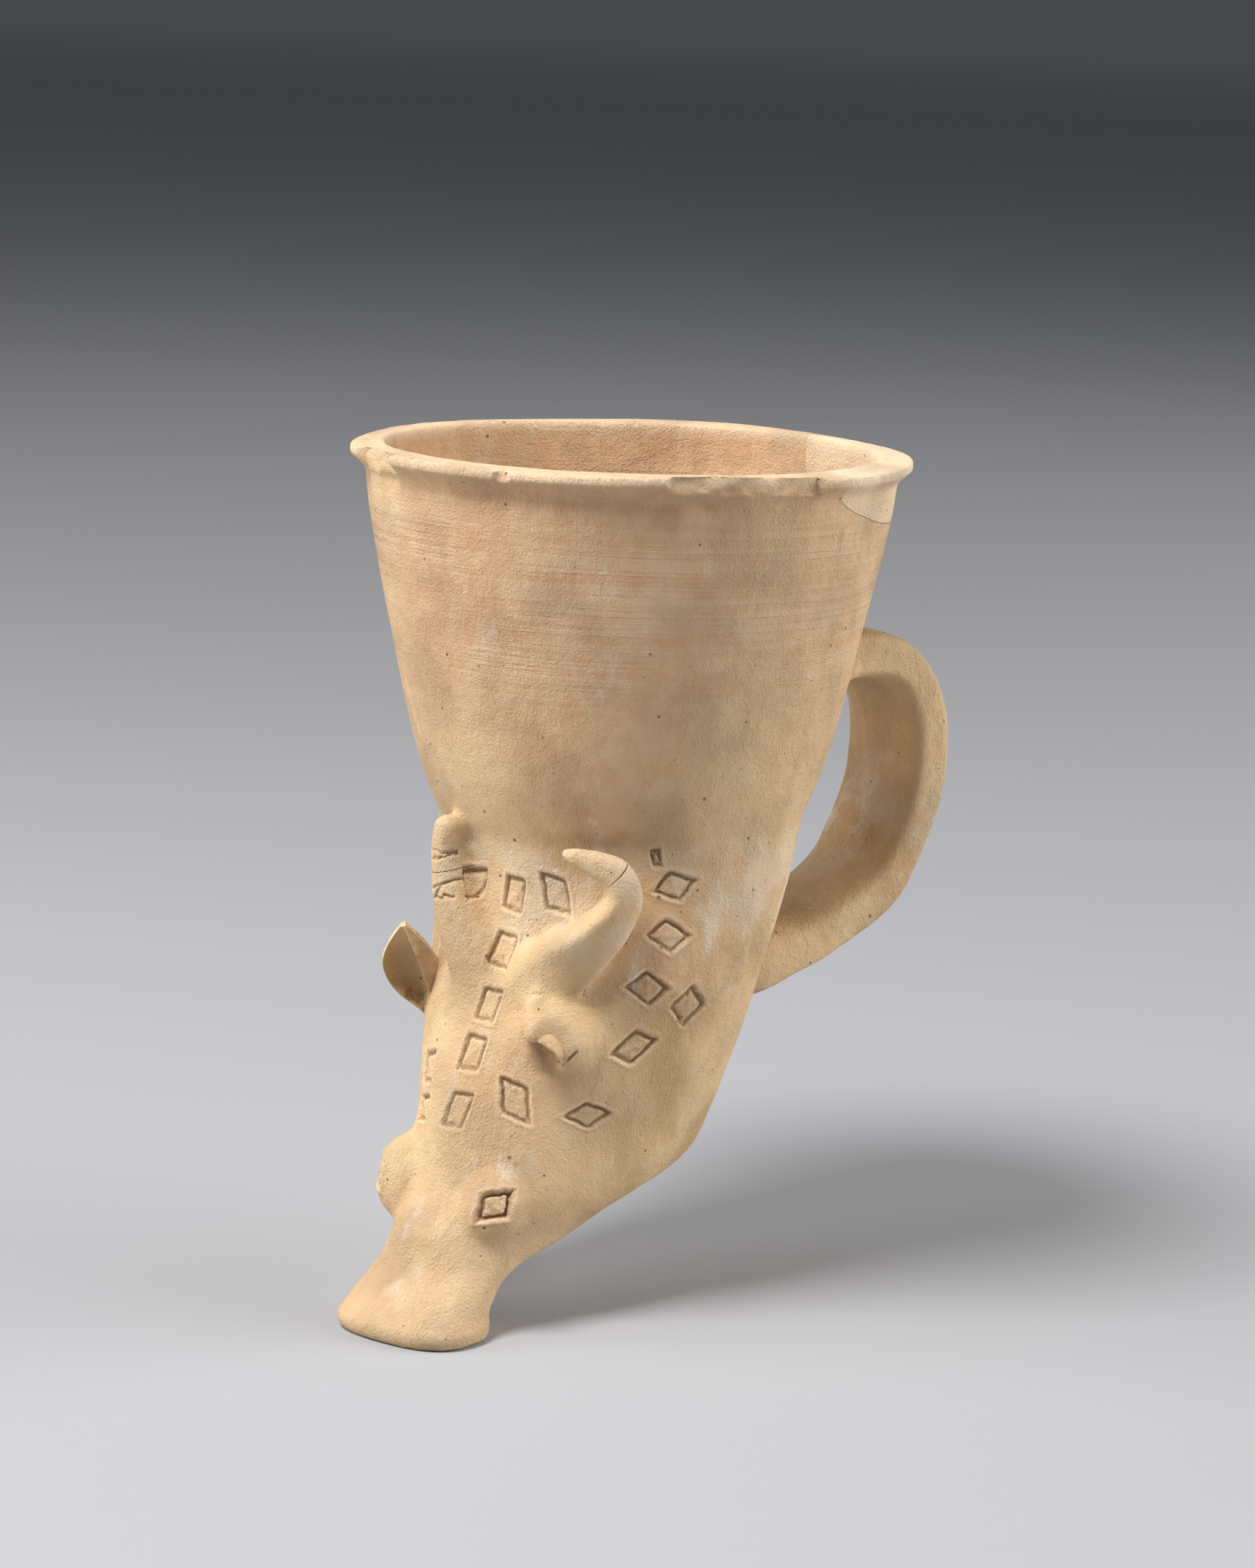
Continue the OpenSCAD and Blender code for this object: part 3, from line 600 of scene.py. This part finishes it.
def stamped(piece, marks, stand=0.0, depth=1.0):
    """Divides the faces under the stamp's marks finely and presses the marks in."""
    places = [(stamp_frame(*mark[:2], stand), mark[2:]) for mark in marks]
    middles = face_middles(piece)
    wanted = np.zeros(len(middles), bool)
    for place, sides in places:
        x, y, z = in_frame(middles, place)
        p, q = slanted(x, y, *sides)
        wanted |= (np.abs(p) < 1.42) & (np.abs(q) < 1.36) & (np.abs(z) < 4.5)
    faces_near(piece, wanted, 3)
    spots = grid_of(piece)
    push = np.zeros(len(spots))
    ways = normals_of(piece)
    for turn, (place, sides) in enumerate(places):
        x, y, z = in_frame(spots, place)
        index = np.nonzero((np.abs(x) < 9) & (np.abs(y) < 9) & (np.abs(z) < 4.5))[0]
        x, y = x[index], y[index]
        p, q = slanted(x, y, *sides)
        ragged = wave(spots[index], 2.6, 4) * 0.30 + wave(spots[index], 1.1, 6) * 0.16
        size = (sides[0] + sides[2]) / 2
        out = ((np.abs(p) ** 9 + np.abs(q) ** 9) ** (1 / 9) - 1) * size + ragged
        uneven = 0.72 + 0.30 * wave(spots[index], 6.5, 7) + 0.16 * np.clip(q - p, -1, 1)
        groove = np.exp(-np.abs((out + 0.75) / 0.52) ** 2.6)
        floor = 1 - between(out, -0.55, 0.1)
        rim = np.exp(-(((out - 0.55) / 0.5) ** 2))
        slope = 1 if turn % 3 else -1
        ridge = np.exp(-(((p + slope * q) / 0.30) ** 2)) * floor * (np.abs(p) < 0.9)
        rough = wave(spots[index], 1.5, 5) + 0.6 * wave(spots[index], 0.7, 8)
        push[index] += depth * (
            -0.30 * floor - 0.78 * groove * uneven + 0.17 * rim + 0.16 * ridge + floor * 0.13 * rough
        )
    spots += ways * push[:, None]
    moved(piece, spots)


stamped(body, stamp_marks + [nick])
left_eye_mark = (5.12, 30.5, 3.5, -68, 4.1, 39)
right_eye_mark = (5.02, -37.0, 3.5, 248, 4.1, 141)
stamped(body, [left_eye_mark], eye_balls["left"][3], 1.9)
stamped(body, [right_eye_mark], eye_balls["right"][3], 1.7)


# The left ear was pinched up, which left a low ridge at its front and a shallow hollow of the thumb behind it.
def pinched(piece, hollow_at, hollow_size, deep, ridge_from, ridge_to, high):
    """Raises a ridge along a line and presses a hollow in at a place on the head."""
    place = stamp_frame(*hollow_at)
    x, y, z = in_frame(face_middles(piece), place)
    faces_near(piece, (np.hypot(x, y) < 13) & (np.abs(z) < 8), 1)
    spots = grid_of(piece)
    x, y, z = in_frame(spots, place)
    a, b = np.array(ridge_from), np.array(ridge_to)
    t = np.clip((spots - a) @ (b - a) / ((b - a) @ (b - a)), 0, 1)
    off = np.linalg.norm(spots - a - t[:, None] * (b - a), axis=1)
    inside = np.hypot(x / hollow_size[0], y / hollow_size[1])
    raised = high * np.exp(-((off / 1.5) ** 2))
    push = raised - deep * (1 - between(inside, 0.35, 1.1)) * (np.abs(z) < 8)
    moved(piece, spots + np.array(normals_of(piece)) * push[:, None])


ear_ridge = (off_skin(2.30, 20.5, 5.0), off_skin(2.92, 25.0, 5.5))
pinched(body, (2.96, 31.0, 3.0), (5.6, 7.5), 1.7, *ear_ridge, 1.3)


# Cracks that opened in drying run across the horns, under the ear and down from the rim.
def scored(piece, lines, width, depth):
    """Divides the faces along some lines finely and opens the lines as cracks of a width and a depth."""
    def away(spots):
        nearest = np.full(len(spots), 99.0)
        for line in lines:
            for a, b in zip(line, line[1:]):
                a, b = np.array(a), np.array(b)
                t = np.clip((spots - a) @ (b - a) / ((b - a) @ (b - a)), 0, 1)
                nearest = np.minimum(nearest, np.linalg.norm(spots - a - t[:, None] * (b - a), axis=1))
        return nearest

    faces_near(piece, away(face_middles(piece)) < 1.5 + width, 2)
    spots = grid_of(piece)
    near = away(spots)
    index = np.nonzero(near < 3 * width + 1)[0]
    ragged = 0.35 * width * wave(spots[index], 1.6, 13)
    open_share = np.exp(-(((near[index] + ragged) / width) ** 2))
    push = -depth * open_share * (0.75 + 0.4 * wave(spots[index], 3, 14))
    spots[index] += normals_of(piece)[index] * push[:, None]
    moved(piece, spots)


def around_horn(rows, t, lean, start, end):
    """A jagged line across a horn, from one share of its girth to another."""
    line = []
    for k in range(9):
        share = start + (end - start) * k / 8
        jag = 0.22 * noise.noise(Vector((k * 0.9, t, lean)))
        ring = horn_ring(rows, t + lean * (share - 0.25) + jag, 0.1)
        line.append(ring[round(share * len(ring)) % len(ring)])
    return line


horn_cracks = [
    around_horn(right_horn, 6.25, 0.5, 0.0, 0.55), around_horn(right_horn, 4.35, -0.5, 0.0, 0.5),
    around_horn(right_horn, 5.75, -0.8, 0.0, 0.3), around_horn(right_horn, 3.9, 0.9, 0.1, 0.45),
]
horn_cracks.append([horn_cracks[1][3], horn_cracks[3][4]])
ear_slit = [off_skin(3.16, 35.8, 1.0), off_skin(3.04, 38.0, 4.2), off_skin(2.96, 39.5, 5.2)]
star_foot = Vector((-21.3, -55.6, 191.7))
star_crack = [star_foot + Vector(way) for way in ((-1.5, 0.6, -4), (0, 0, 0), (2.4, -0.9, 3.4))]
star_branch = [star_foot, star_foot + Vector((1.8, -0.6, -4.2)), star_foot + Vector((4.0, -1.4, -6.0))]
scored(body, horn_cracks, 0.34, 0.85)
scored(body, [ear_slit], 0.4, 1.0)
scored(body, [star_crack, star_branch], 0.25, 0.4)

# The finished skin is thinned, which its smooth stretches don't show.
thin_share = 0.46
thin = body.modifiers.new("thin", "DECIMATE")
thin.ratio = thin_share
bpy.context.view_layer.objects.active = body
bpy.ops.object.modifier_apply(modifier="thin")


# How hollow the skin is at each corner is noted before the cuts, for the darker brown in the hollows and the
# paler cream on sharp edges.
def hollows(piece):
    """From 0 on a sharp edge through 0.5 where the skin is flat to 1 in a deep groove."""
    spots = grid_of(piece)
    edges = np.empty(len(piece.data.edges) * 2, int)
    piece.data.edges.foreach_get("vertices", edges)
    a, b = edges.reshape(-1, 2).T
    between_ends = spots[b] - spots[a]
    length = np.linalg.norm(between_ends, axis=1)
    ways = normals_of(piece)
    bend = np.zeros(len(spots))
    count = np.zeros(len(spots))
    np.add.at(bend, a, np.einsum("ij,ij->i", between_ends, ways[a]) / np.maximum(length, 0.1) ** 2)
    np.add.at(bend, b, np.einsum("ij,ij->i", -between_ends, ways[b]) / np.maximum(length, 0.1) ** 2)
    np.add.at(count, a, 1)
    np.add.at(count, b, 1)
    bend /= count
    for _ in range(2):
        total = bend.copy()
        np.add.at(total, a, bend[b])
        np.add.at(total, b, bend[a])
        bend = total / (count + 1)
    return np.clip(0.5 + 0.9 * bend, 0, 1)


body_hollows = hollows(body)
body_places = KDTree(len(body.data.vertices))
for index, corner in enumerate(body.data.vertices):
    body_places.insert(corner.co, index)
body_places.balance()


def note_hollows(piece):
    values = hollows(piece)
    for index, corner in enumerate(piece.data.vertices):
        _, nearest, away = body_places.find(corner.co)
        if away < 0.9 * mm:
            values[index] = body_hollows[nearest]
    kept = piece.data.attributes.new("hollow", "FLOAT", "POINT")
    kept.data.foreach_set("value", values.astype(np.float32))

# THE CUP AND THE BODY TAKEN APART
# Each named part of the vessel is cut out of the one skin along its joint, so that together they close up again
# without a gap. A plug just under the skin of cup and head stops the cuts.
plug_depth = 1.3
joint_grow = 0.9


def solid_copy(piece, name):
    bpy.ops.object.select_all(action="DESELECT")
    piece.select_set(True)
    bpy.context.view_layer.objects.active = piece
    bpy.ops.object.duplicate()
    twin = bpy.context.object
    twin.name = name
    return twin


def cut_out(whole, name, tool):
    """The part of a piece inside a tool, as a piece of its own."""
    piece = solid_copy(whole, name)
    carve(piece, solid_copy(tool, name + "_tool"), "INTERSECT")
    carve(whole, tool)
    return piece


def without_crumbs(piece):
    """Throws away the crumbs that a cut leaves and keeps the largest part."""
    name = piece.name
    bpy.ops.object.select_all(action="DESELECT")
    piece.select_set(True)
    bpy.context.view_layer.objects.active = piece
    bpy.ops.object.mode_set(mode="EDIT")
    bpy.ops.mesh.select_all(action="SELECT")
    bpy.ops.mesh.separate(type="LOOSE")
    bpy.ops.object.mode_set(mode="OBJECT")
    parts = sorted(bpy.context.selected_objects, key=lambda part: len(part.data.vertices))
    for crumb in parts[:-1]:
        bpy.data.objects.remove(crumb)
    parts[-1].name = name
    return parts[-1]


plug_rings = [whole_ring(sunk_row(head_rows, i / 4, plug_depth), 96) for i in range(25)]
plug_rings += [whole_ring(sunk_row(muzzle_rows, i / 4, plug_depth), 96) for i in range(1, 12)]
plug = drawn_out("plug", plug_rings)
cup_plug_profile = [(0, 108), (41.0, 108)]
cup_plug_profile += [(cup_radius(z) - plug_depth, z) for z in wall_heights[1:]] + [(0, wall_heights[-1])]
carve(plug, turned("cup_plug", cup_plug_profile, 180), "UNION")


def cutter(name, rings):
    tool = drawn_out(name, rings)
    carve(tool, solid_copy(plug, "plug_tool"))
    return tool


handle_rings = [strap_ring(t, joint_grow + 0.3) for t in strap_steps]
handle = cut_out(body, "strap_handle", cutter("handle_cutter", handle_rings))
ears = {}
cowl_rings = [cowl_ring(6 * i / 24, joint_grow) for i in range(25)]
ears["left"] = cut_out(body, "cowl_ear", cutter("cowl_cutter", cowl_rings))
ears["right"] = drawn_out("leaf_ear", [leaf_ring(i / 44) for i in range(45)])
carve(ears["right"], solid_copy(plug, "plug_tool"))
spots = grid_of(ears["right"])
leaf_push = 0.3 * wave(spots, 5, 9) + 0.12 * wave(spots, 2, 3)
moved(ears["right"], spots + normals_of(ears["right"]) * leaf_push[:, None])
break_gap = 0.04
horn_breaks = {"left": 7.05, "right": 5.0}
horn_roots, horn_tips = {}, {}
for side, rows in {"left": left_horn, "right": right_horn}.items():
    end = len(rows) - 1
    horn = cut_out(body, side + "_horn", cutter(side + "_horn_cutter", horn_rings(rows, 0, end, joint_grow)))
    tip = solid_copy(horn, side + "_horn_tip")
    carve(tip, drawn_out("tip_tool", horn_rings(rows, horn_breaks[side] + break_gap, end, 2.5)), "INTERSECT")
    carve(horn, drawn_out("root_tool", horn_rings(rows, 0, horn_breaks[side], 2.5)), "INTERSECT")
    horn_roots[side], horn_tips[side] = horn, tip
eyes = {}
for side, place in eye_balls.items():
    tool = eye_ball(side + "_eye_cutter", place, joint_grow)
    carve(tool, solid_copy(plug, "plug_tool"))
    eyes[side] = cut_out(body, side + "_eye", tool)

big = 400 * mm
bpy.ops.object.select_all(action="DESELECT")
bpy.ops.mesh.primitive_cube_add(size=big, location=(0, 0, foot_z * mm + big / 2))
cup = cut_out(body, "thrown_cup", bpy.context.object)
waist = head_rows[6]
waist_tilt = math.atan2(waist[1] - waist[3], waist[2] - waist[0])
bpy.ops.object.select_all(action="DESELECT")
bpy.ops.mesh.primitive_cube_add(size=big)
bpy.ops.transform.translate(value=(0, 0, -big / 2))
bpy.ops.transform.rotate(value=-waist_tilt, orient_axis="Y", center_override=(0, 0, 0))
bpy.ops.transform.translate(value=Vector((waist[0], 0, waist[1])) * mm)
bpy.ops.object.transform_apply()
muzzle = cut_out(body, "bill", bpy.context.object)
head = body
head.name = "hollow_head"
bpy.data.objects.remove(plug)

# THE RIM SHERD
# A wedge of the rim broke out at the right and was stuck back in, so that a crack as thin as a hair runs down
# from the ledge and back up to it.
sherd_turn = math.radians(-51)
sherd_half = math.radians(42)
sherd_depth = 17.0
crack_gap = 0.12
sherd_outline = [
    (-1, 0), (-0.96, 0.4), (-0.62, 0.7), (-0.2, 0.88), (0.25, 1), (0.62, 0.93), (0.95, 0.55), (1, 0),
]


def sherd_ring(reach, gap):
    corners = np.array(sherd_outline)
    ring = []
    for i in range(57):
        u, v = through(corners, i / 8)
        jag = 0.5 * noise.noise(Vector((i * 0.37, 2.0, 0.5)))
        wide = u * math.tan(sherd_half) * reach + math.copysign(gap, u) * min(1, abs(u) * 3)
        ring.append(Vector((reach, wide + jag, mouth_z - v * sherd_depth - gap - jag * 0.6)))
    ring += [Vector((reach, u * math.tan(sherd_half) * reach, mouth_z + 9)) for u in (1, 0.5, 0, -0.5, -1)]
    return [Matrix.Rotation(sherd_turn, 3, "Z") @ p for p in ring]


sherd = solid_copy(cup, "rim_piece")
carve(sherd, drawn_out("sherd_tool", [sherd_ring(r, 0) for r in (28, 52, 100)]), "INTERSECT")
carve(cup, drawn_out("sherd_tool", [sherd_ring(r, crack_gap) for r in (28, 52, 100)]))

# THE CLAY'S COLOUR AND SKIN
# Low-fired buff clay, yellow to pink with the heat of the kiln and chalky where it was rubbed. Sand, pits and
# fine lines from the wheel show in its skin, and there is no glaze.
class Value:
    """One output in a material's nodes, which can be written in sums like a number."""

    def __init__(self, tree, socket):
        self.tree, self.socket = tree, socket

    def node(self, kind, settings=(), inputs=(), output=0):
        """Any other node of the same material, by its type, its settings and its inputs."""
        made = self.tree.nodes.new("ShaderNode" + kind)
        for name, value in dict(settings).items():
            setattr(made, name, value)
        for name, value in dict(inputs).items():
            if isinstance(value, Value):
                self.tree.links.new(value.socket, made.inputs[name])
            else:
                made.inputs[name].default_value = value
        return Value(self.tree, made.outputs[output])

    def sum(self, operation, *others):
        terms = dict(enumerate((self, *others)))
        return self.node("Math", {"operation": operation}, terms)

    def __add__(self, other):
        return self.sum("ADD", other)

    def __sub__(self, other):
        return self.sum("SUBTRACT", other)

    def __mul__(self, other):
        return self.sum("MULTIPLY", other)

    def __truediv__(self, other):
        return self.sum("DIVIDE", other)

    def __rsub__(self, other):
        return self * -1 + other

    __radd__, __rmul__ = __add__, __mul__

    def step(self, low, high):
        """0 below the low value, 1 above the high one and a soft step between them."""
        ends = {"Value": self, "From Min": low, "From Max": high}
        return self.node("MapRange", {"interpolation_type": "SMOOTHSTEP"}, ends)

    def noise(self, size, detail=2.0, stretch=(1, 1, 1), rough=0.5):
        """Noise from 0 to 1 at this place, whose lumps are as large as the size in millimetres."""
        scale = [1 / (size * mm * s) for s in stretch]
        place = self.node("VectorMath", {"operation": "MULTIPLY"}, {0: self, 1: scale})
        looks = {"Vector": place, "Detail": detail, "Roughness": rough, "Scale": 1.0}
        return place.node("TexNoise", (), looks)

    def dots(self, cell, radius, share):
        """1 in round dots of a radius in millimetres, in a share of the cells that divide the clay."""
        cells = {"Vector": self, "Scale": 1 / (cell * mm)}
        away = self.node("TexVoronoi", (), cells)
        made = self.tree.nodes.new("ShaderNodeSeparateColor")
        self.tree.links.new(self.node("TexVoronoi", (), cells, output=1).socket, made.inputs[0])
        picked = Value(self.tree, made.outputs[0]).step(1 - share - 0.01, 1 - share)
        size = (Value(self.tree, made.outputs[1]) * 0.6 + 0.55) * (radius / cell)
        return (1 - (away / size).step(0.7, 1.1)) * picked


def colour(red, green, blue):
    """A colour whose channels go from 0 to 255, as Blender wants it."""
    return (*(((c / 255 + 0.055) / 1.055) ** 2.4 for c in (red, green, blue)), 1)


buff = colour(223, 190, 145)
pink_buff = colour(219, 178, 136)
kiln_pink = colour(213, 165, 127)
cream = colour(233, 207, 168)
dirt = colour(200, 158, 112)
stain = colour(209, 168, 114)
chalk_white = colour(240, 226, 204)
rubbed_white = colour(238, 221, 196)
neck_white = colour(237, 221, 197)
bill_pink = colour(222, 186, 150)
rim_cream = colour(238, 214, 180)
hollow_brown = colour(160, 126, 90)
edge_cream = colour(240, 218, 186)
sherd_cream = colour(250, 230, 200)
pit_brown = colour(146, 104, 70)
pepper_brown = colour(120, 88, 64)
grit_red = colour(112, 70, 50)
line_cream = colour(236, 213, 180)
flake_cream = colour(238, 217, 188)


def clay_finish(name, wheel_lines=0.0, cracked=0.0, worn=1.0, pale=0.0):
    """Fired clay, with shares for its wheel lines, its flaking, its chalky wear and its paleness."""
    material = bpy.data.materials.new(name)
    material.use_nodes = True
    tree = material.node_tree
    shader = tree.nodes["Principled BSDF"]
    here = Value(tree, tree.nodes.new("ShaderNodeTexCoord").outputs["Object"])
    parts = tree.nodes.new("ShaderNodeSeparateXYZ")
    tree.links.new(here.socket, parts.inputs[0])
    x, y, z = (Value(tree, parts.outputs[i]) * (1 / mm) for i in range(3))

    def mixed(factor, a, b):
        return here.node("Mix", {"data_type": "RGBA"}, {0: factor, 6: a, 7: b}, output=2)

    # Where each tone lies: kiln blush, chalky wear, rubbed streaks, clouds, stains and handling dirt.
    hollow = here.node("Attribute", {"attribute_name": "hollow"}, output=2)
    broad = here.noise(45, 3)
    blush = (here.noise(80, 2) + (z - 130) * 0.0035).step(0.52, 0.74)
    chalk = here.noise(9, 8, (1, 1, 2.6), 0.62).step(0.55, 0.68) * here.noise(42, 2).step(0.42, 0.62)
    streaks = here.noise(1.1, 3, (1, 1, 16)).step(0.60, 0.74) * here.noise(24, 3).step(0.45, 0.62)
    cloud = here.noise(5.0, 5, (1, 1, 1.6), 0.65)
    low_stain = here.noise(19, 4).step(0.44, 0.62) * (z - 118).step(0, -24) * (x + 62).step(0, 26)
    grime = here.noise(14, 6, (1, 1, 1), 0.6).step(0.56, 0.74)

    clay = mixed(broad.step(0.36, 0.64), buff, pink_buff)
    clay = mixed(blush * 0.6, clay, kiln_pink)
    clay = mixed(cloud.step(0.36, 0.64) * 0.32, clay, cream)
    clay = mixed(grime * 0.28, clay, dirt)
    clay = mixed(low_stain * 0.38, clay, stain)
    clay = mixed(chalk * (0.34 + (z - 122).step(6, -6) * 0.3) * worn, clay, chalk_white)
    clay = mixed(streaks * 0.14 * worn, clay, rubbed_white)
    pale_neck = (1 - (z - 100) * (z - 100) * 0.0035) * here.noise(15, 4).step(0.38, 0.60)
    clay = mixed(pale_neck.step(0, 1) * 0.4, clay, neck_white)
    clay = mixed((z - 40).step(0, -30) * 0.25, clay, bill_pink)
    clay = mixed((z - 196.5).step(0, 2.5) * 0.45, clay, rim_cream)
    # Darker brown in the hollows and grooves and paler cream on sharp edges, by how hollow the skin is.
    clay = mixed(hollow.step(0.56, 0.80) * 0.62, clay, hollow_brown)
    clay = mixed(hollow.step(0.44, 0.24) * 0.38, clay, edge_cream)
    if pale:
        clay = mixed(pale, clay, sherd_cream)
    # Pits where grains fell out, red grits and specks, then the heights of the skin in millimetres.
    pits = here.dots(4.6, 0.42, 0.42)
    grit = here.dots(9.5, 0.52, 0.36)
    pepper = here.dots(2.3, 0.19, 0.40)
    clay = mixed(pits * 0.8, clay, pit_brown)
    clay = mixed(pepper * 0.75, clay, pepper_brown)
    clay = mixed(grit * 0.85, clay, grit_red)

    wash = here.noise(2.4, 6, (1, 1, 1), 0.62)
    sand = here.noise(0.6, 4, (1, 1, 1), 0.7)
    scrapes = here.noise(1.3, 4, (1, 1, 7), 0.6) * here.noise(16, 3).step(0.42, 0.62)
    rubbed = here.noise(20, 3).step(0.40, 0.66)
    height = sand * (0.42 + rubbed * 0.42) + wash * (0.50 + rubbed * 0.50) + here.noise(7, 4) * 0.85
    height = height + scrapes * 0.45 - pits * 0.5 + grit * 0.12 - pepper * 0.2 + chalk * 0.10 - streaks * 0.05
    if wheel_lines:
        fine = here.noise(0.62, 2, (70, 70, 1)) * 0.7 + here.noise(1.9, 2, (40, 40, 1))
        band = (z - 150).step(-14, 10) * (z - 186).step(8, -2) * here.noise(30, 2).step(0.34, 0.56)
        groove = fine.step(0.72, 0.98) * (band * 0.85 + 0.15)
        height = height + groove * (0.20 * wheel_lines)
        clay = mixed(groove * 0.26, clay, line_cream)
        height = height + here.noise(2.1, 3, (55, 55, 1)) * 0.10
    if cracked:
        flakes = here.noise(3.4, 6, (1, 1, 1), 0.68)
        height = height + flakes * (1.1 * cracked)
        clay = mixed(flakes.step(0.55, 0.75) * 0.35 * cracked, clay, flake_cream)
    bump = here.node("Bump", (), {"Height": height, "Strength": 1.0, "Distance": mm})
    tree.links.new(clay.socket, shader.inputs["Base Color"])
    tree.links.new(bump.socket, shader.inputs["Normal"])
    shader.inputs["Roughness"].default_value = 0.9
    shader.inputs["Specular IOR Level"].default_value = 0.22
    return material


cup_finish = clay_finish("thrown_clay", wheel_lines=1.0)
sherd_finish = clay_finish("sherd_clay", wheel_lines=1.0, pale=0.4)
head_finish = clay_finish("modelled_clay")
handle_finish = clay_finish("pulled_clay", cracked=1.0, worn=1.3)
horn_finish = clay_finish("horn_clay", cracked=0.25, worn=0.6)

# THE FIRED PIECES
# Each piece takes the place of the solid it was made after and goes with the one body, since nothing moves.
fired = [
    (cup, "cup", cup_finish), (sherd, "rim_sherd", sherd_finish), (head, "head", head_finish),
    (muzzle, "muzzle", head_finish), (handle, "handle", handle_finish),
    (horn_roots["left"], "horn_left", horn_finish), (horn_tips["left"], "horn_tip_left", horn_finish),
    (horn_roots["right"], "horn_right", horn_finish), (horn_tips["right"], "horn_tip_right", horn_finish),
    (ears["left"], "ear_left", horn_finish), (ears["right"], "ear_right", horn_finish),
    (eyes["left"], "eye_left", head_finish), (eyes["right"], "eye_right", head_finish),
]
for piece, node, finish in fired:
    piece = without_crumbs(piece)
    note_hollows(piece)
    piece.location.x = wheel_x
    bpy.ops.object.select_all(action="DESELECT")
    piece.select_set(True)
    bpy.context.view_layer.objects.active = piece
    bpy.ops.object.transform_apply()
    bpy.ops.object.mode_set(mode="EDIT")
    bpy.ops.mesh.select_all(action="SELECT")
    bpy.ops.mesh.normals_make_consistent(inside=False)
    bpy.ops.object.mode_set(mode="OBJECT")
    bpy.ops.object.shade_smooth_by_angle(angle=math.radians(38))
    piece.data.materials.clear()
    piece.data.materials.append(finish)
    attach(piece, "root")
    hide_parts(node)
    "buff_clay" if node in ("cup", "rim_sherd", "head", "muzzle", "handle") else "cream_clay"

# THE STUDIO
# A plain pale sheet, with painted shade that makes it a little greyer round the cup than further out. One soft
# lamp stands high at the left, and two large panels stand low on either side. A weak bluish world fills the
# shadows.
camera_place = (-833.78, -646.44, 310.86)
camera_right = Vector((0.61894197, -0.7846859, 0.03433489))
camera_up = Vector((0.11982185, 0.1375348, 0.98322271))
camera_forward = Vector((0.77624324, 0.60444373, -0.17914858))
camera = bpy.data.objects.new("camera", bpy.data.cameras.new("camera"))
bpy.context.collection.objects.link(camera)
camera.matrix_world = Matrix.Translation(Vector(camera_place) * mm) @ Matrix(
    (camera_right, camera_up, -camera_forward)
).transposed().to_4x4()
camera.data.sensor_fit = "VERTICAL"
camera.data.sensor_height = 36
camera.data.sensor_width = 36
camera.data.lens = 103
camera.data.clip_end = 500
bpy.context.scene.camera = camera

bpy.ops.mesh.primitive_plane_add(size=400)
floor = bpy.context.object
floor.name = "floor"
sheet = bpy.data.materials.new("sheet")
sheet.use_nodes = True
floor.data.materials.append(sheet)
shader = sheet.node_tree.nodes["Principled BSDF"]
shader.inputs["Roughness"].default_value = 0.9
spot = Value(sheet.node_tree, sheet.node_tree.nodes.new("ShaderNodeTexCoord").outputs["Object"])
out_on_sheet = spot.node("VectorMath", {"operation": "LENGTH"}, {0: spot}, output=1)


def blended(factor, a, b):
    return spot.node("Mix", {"data_type": "RGBA"}, {0: factor, 6: a, 7: b}, output=2)


# Painted shade: the sheet is greyer round the cup, out to about 2.5 m, than further out.
paper_and_shade = blended(out_on_sheet.step(0.7, 2.5), colour(167, 167, 170), colour(196, 196, 198))
paper_and_shade = blended(out_on_sheet.step(8, 20), paper_and_shade, colour(228, 228, 230))
sheet.node_tree.links.new(paper_and_shade.socket, shader.inputs["Base Color"])
cup_middle = Vector((0, 0, 0.1))


def lamp(name, place, size, watts):
    """A soft round lamp that looks at the middle of the cup."""
    light = bpy.data.lights.new(name, "AREA")
    light.shape = "DISK"
    light.size, light.energy = size, watts
    source = bpy.data.objects.new(name, light)
    bpy.context.collection.objects.link(source)
    source.location = place
    source.rotation_euler = (cup_middle - place).to_track_quat("-Z", "Y").to_euler()


def round_the_cup(azimuth, elevation, distance):
    """A place at some degrees round the cup and above it, at a distance in metres."""
    a, e = math.radians(azimuth), math.radians(elevation)
    way = Vector((math.cos(a) * math.cos(e), math.sin(a) * math.cos(e), math.sin(e)))
    return cup_middle + way * distance


lamp("key_lamp", round_the_cup(170, 60, 1.5), 0.6, 27)
lamp("left_panel", round_the_cup(132, 20, 2.0), 1.6, 27)
lamp("right_panel", round_the_cup(311, 20, 2.0), 2.2, 49)
world = bpy.data.worlds.new("studio")
bpy.context.scene.world = world
world.use_nodes = True
world.node_tree.nodes["Background"].inputs["Color"].default_value = (0.9, 0.95, 1.0, 1)
world.node_tree.nodes["Background"].inputs["Strength"].default_value = 0.085

bpy.context.scene.view_settings.view_transform = "Standard"
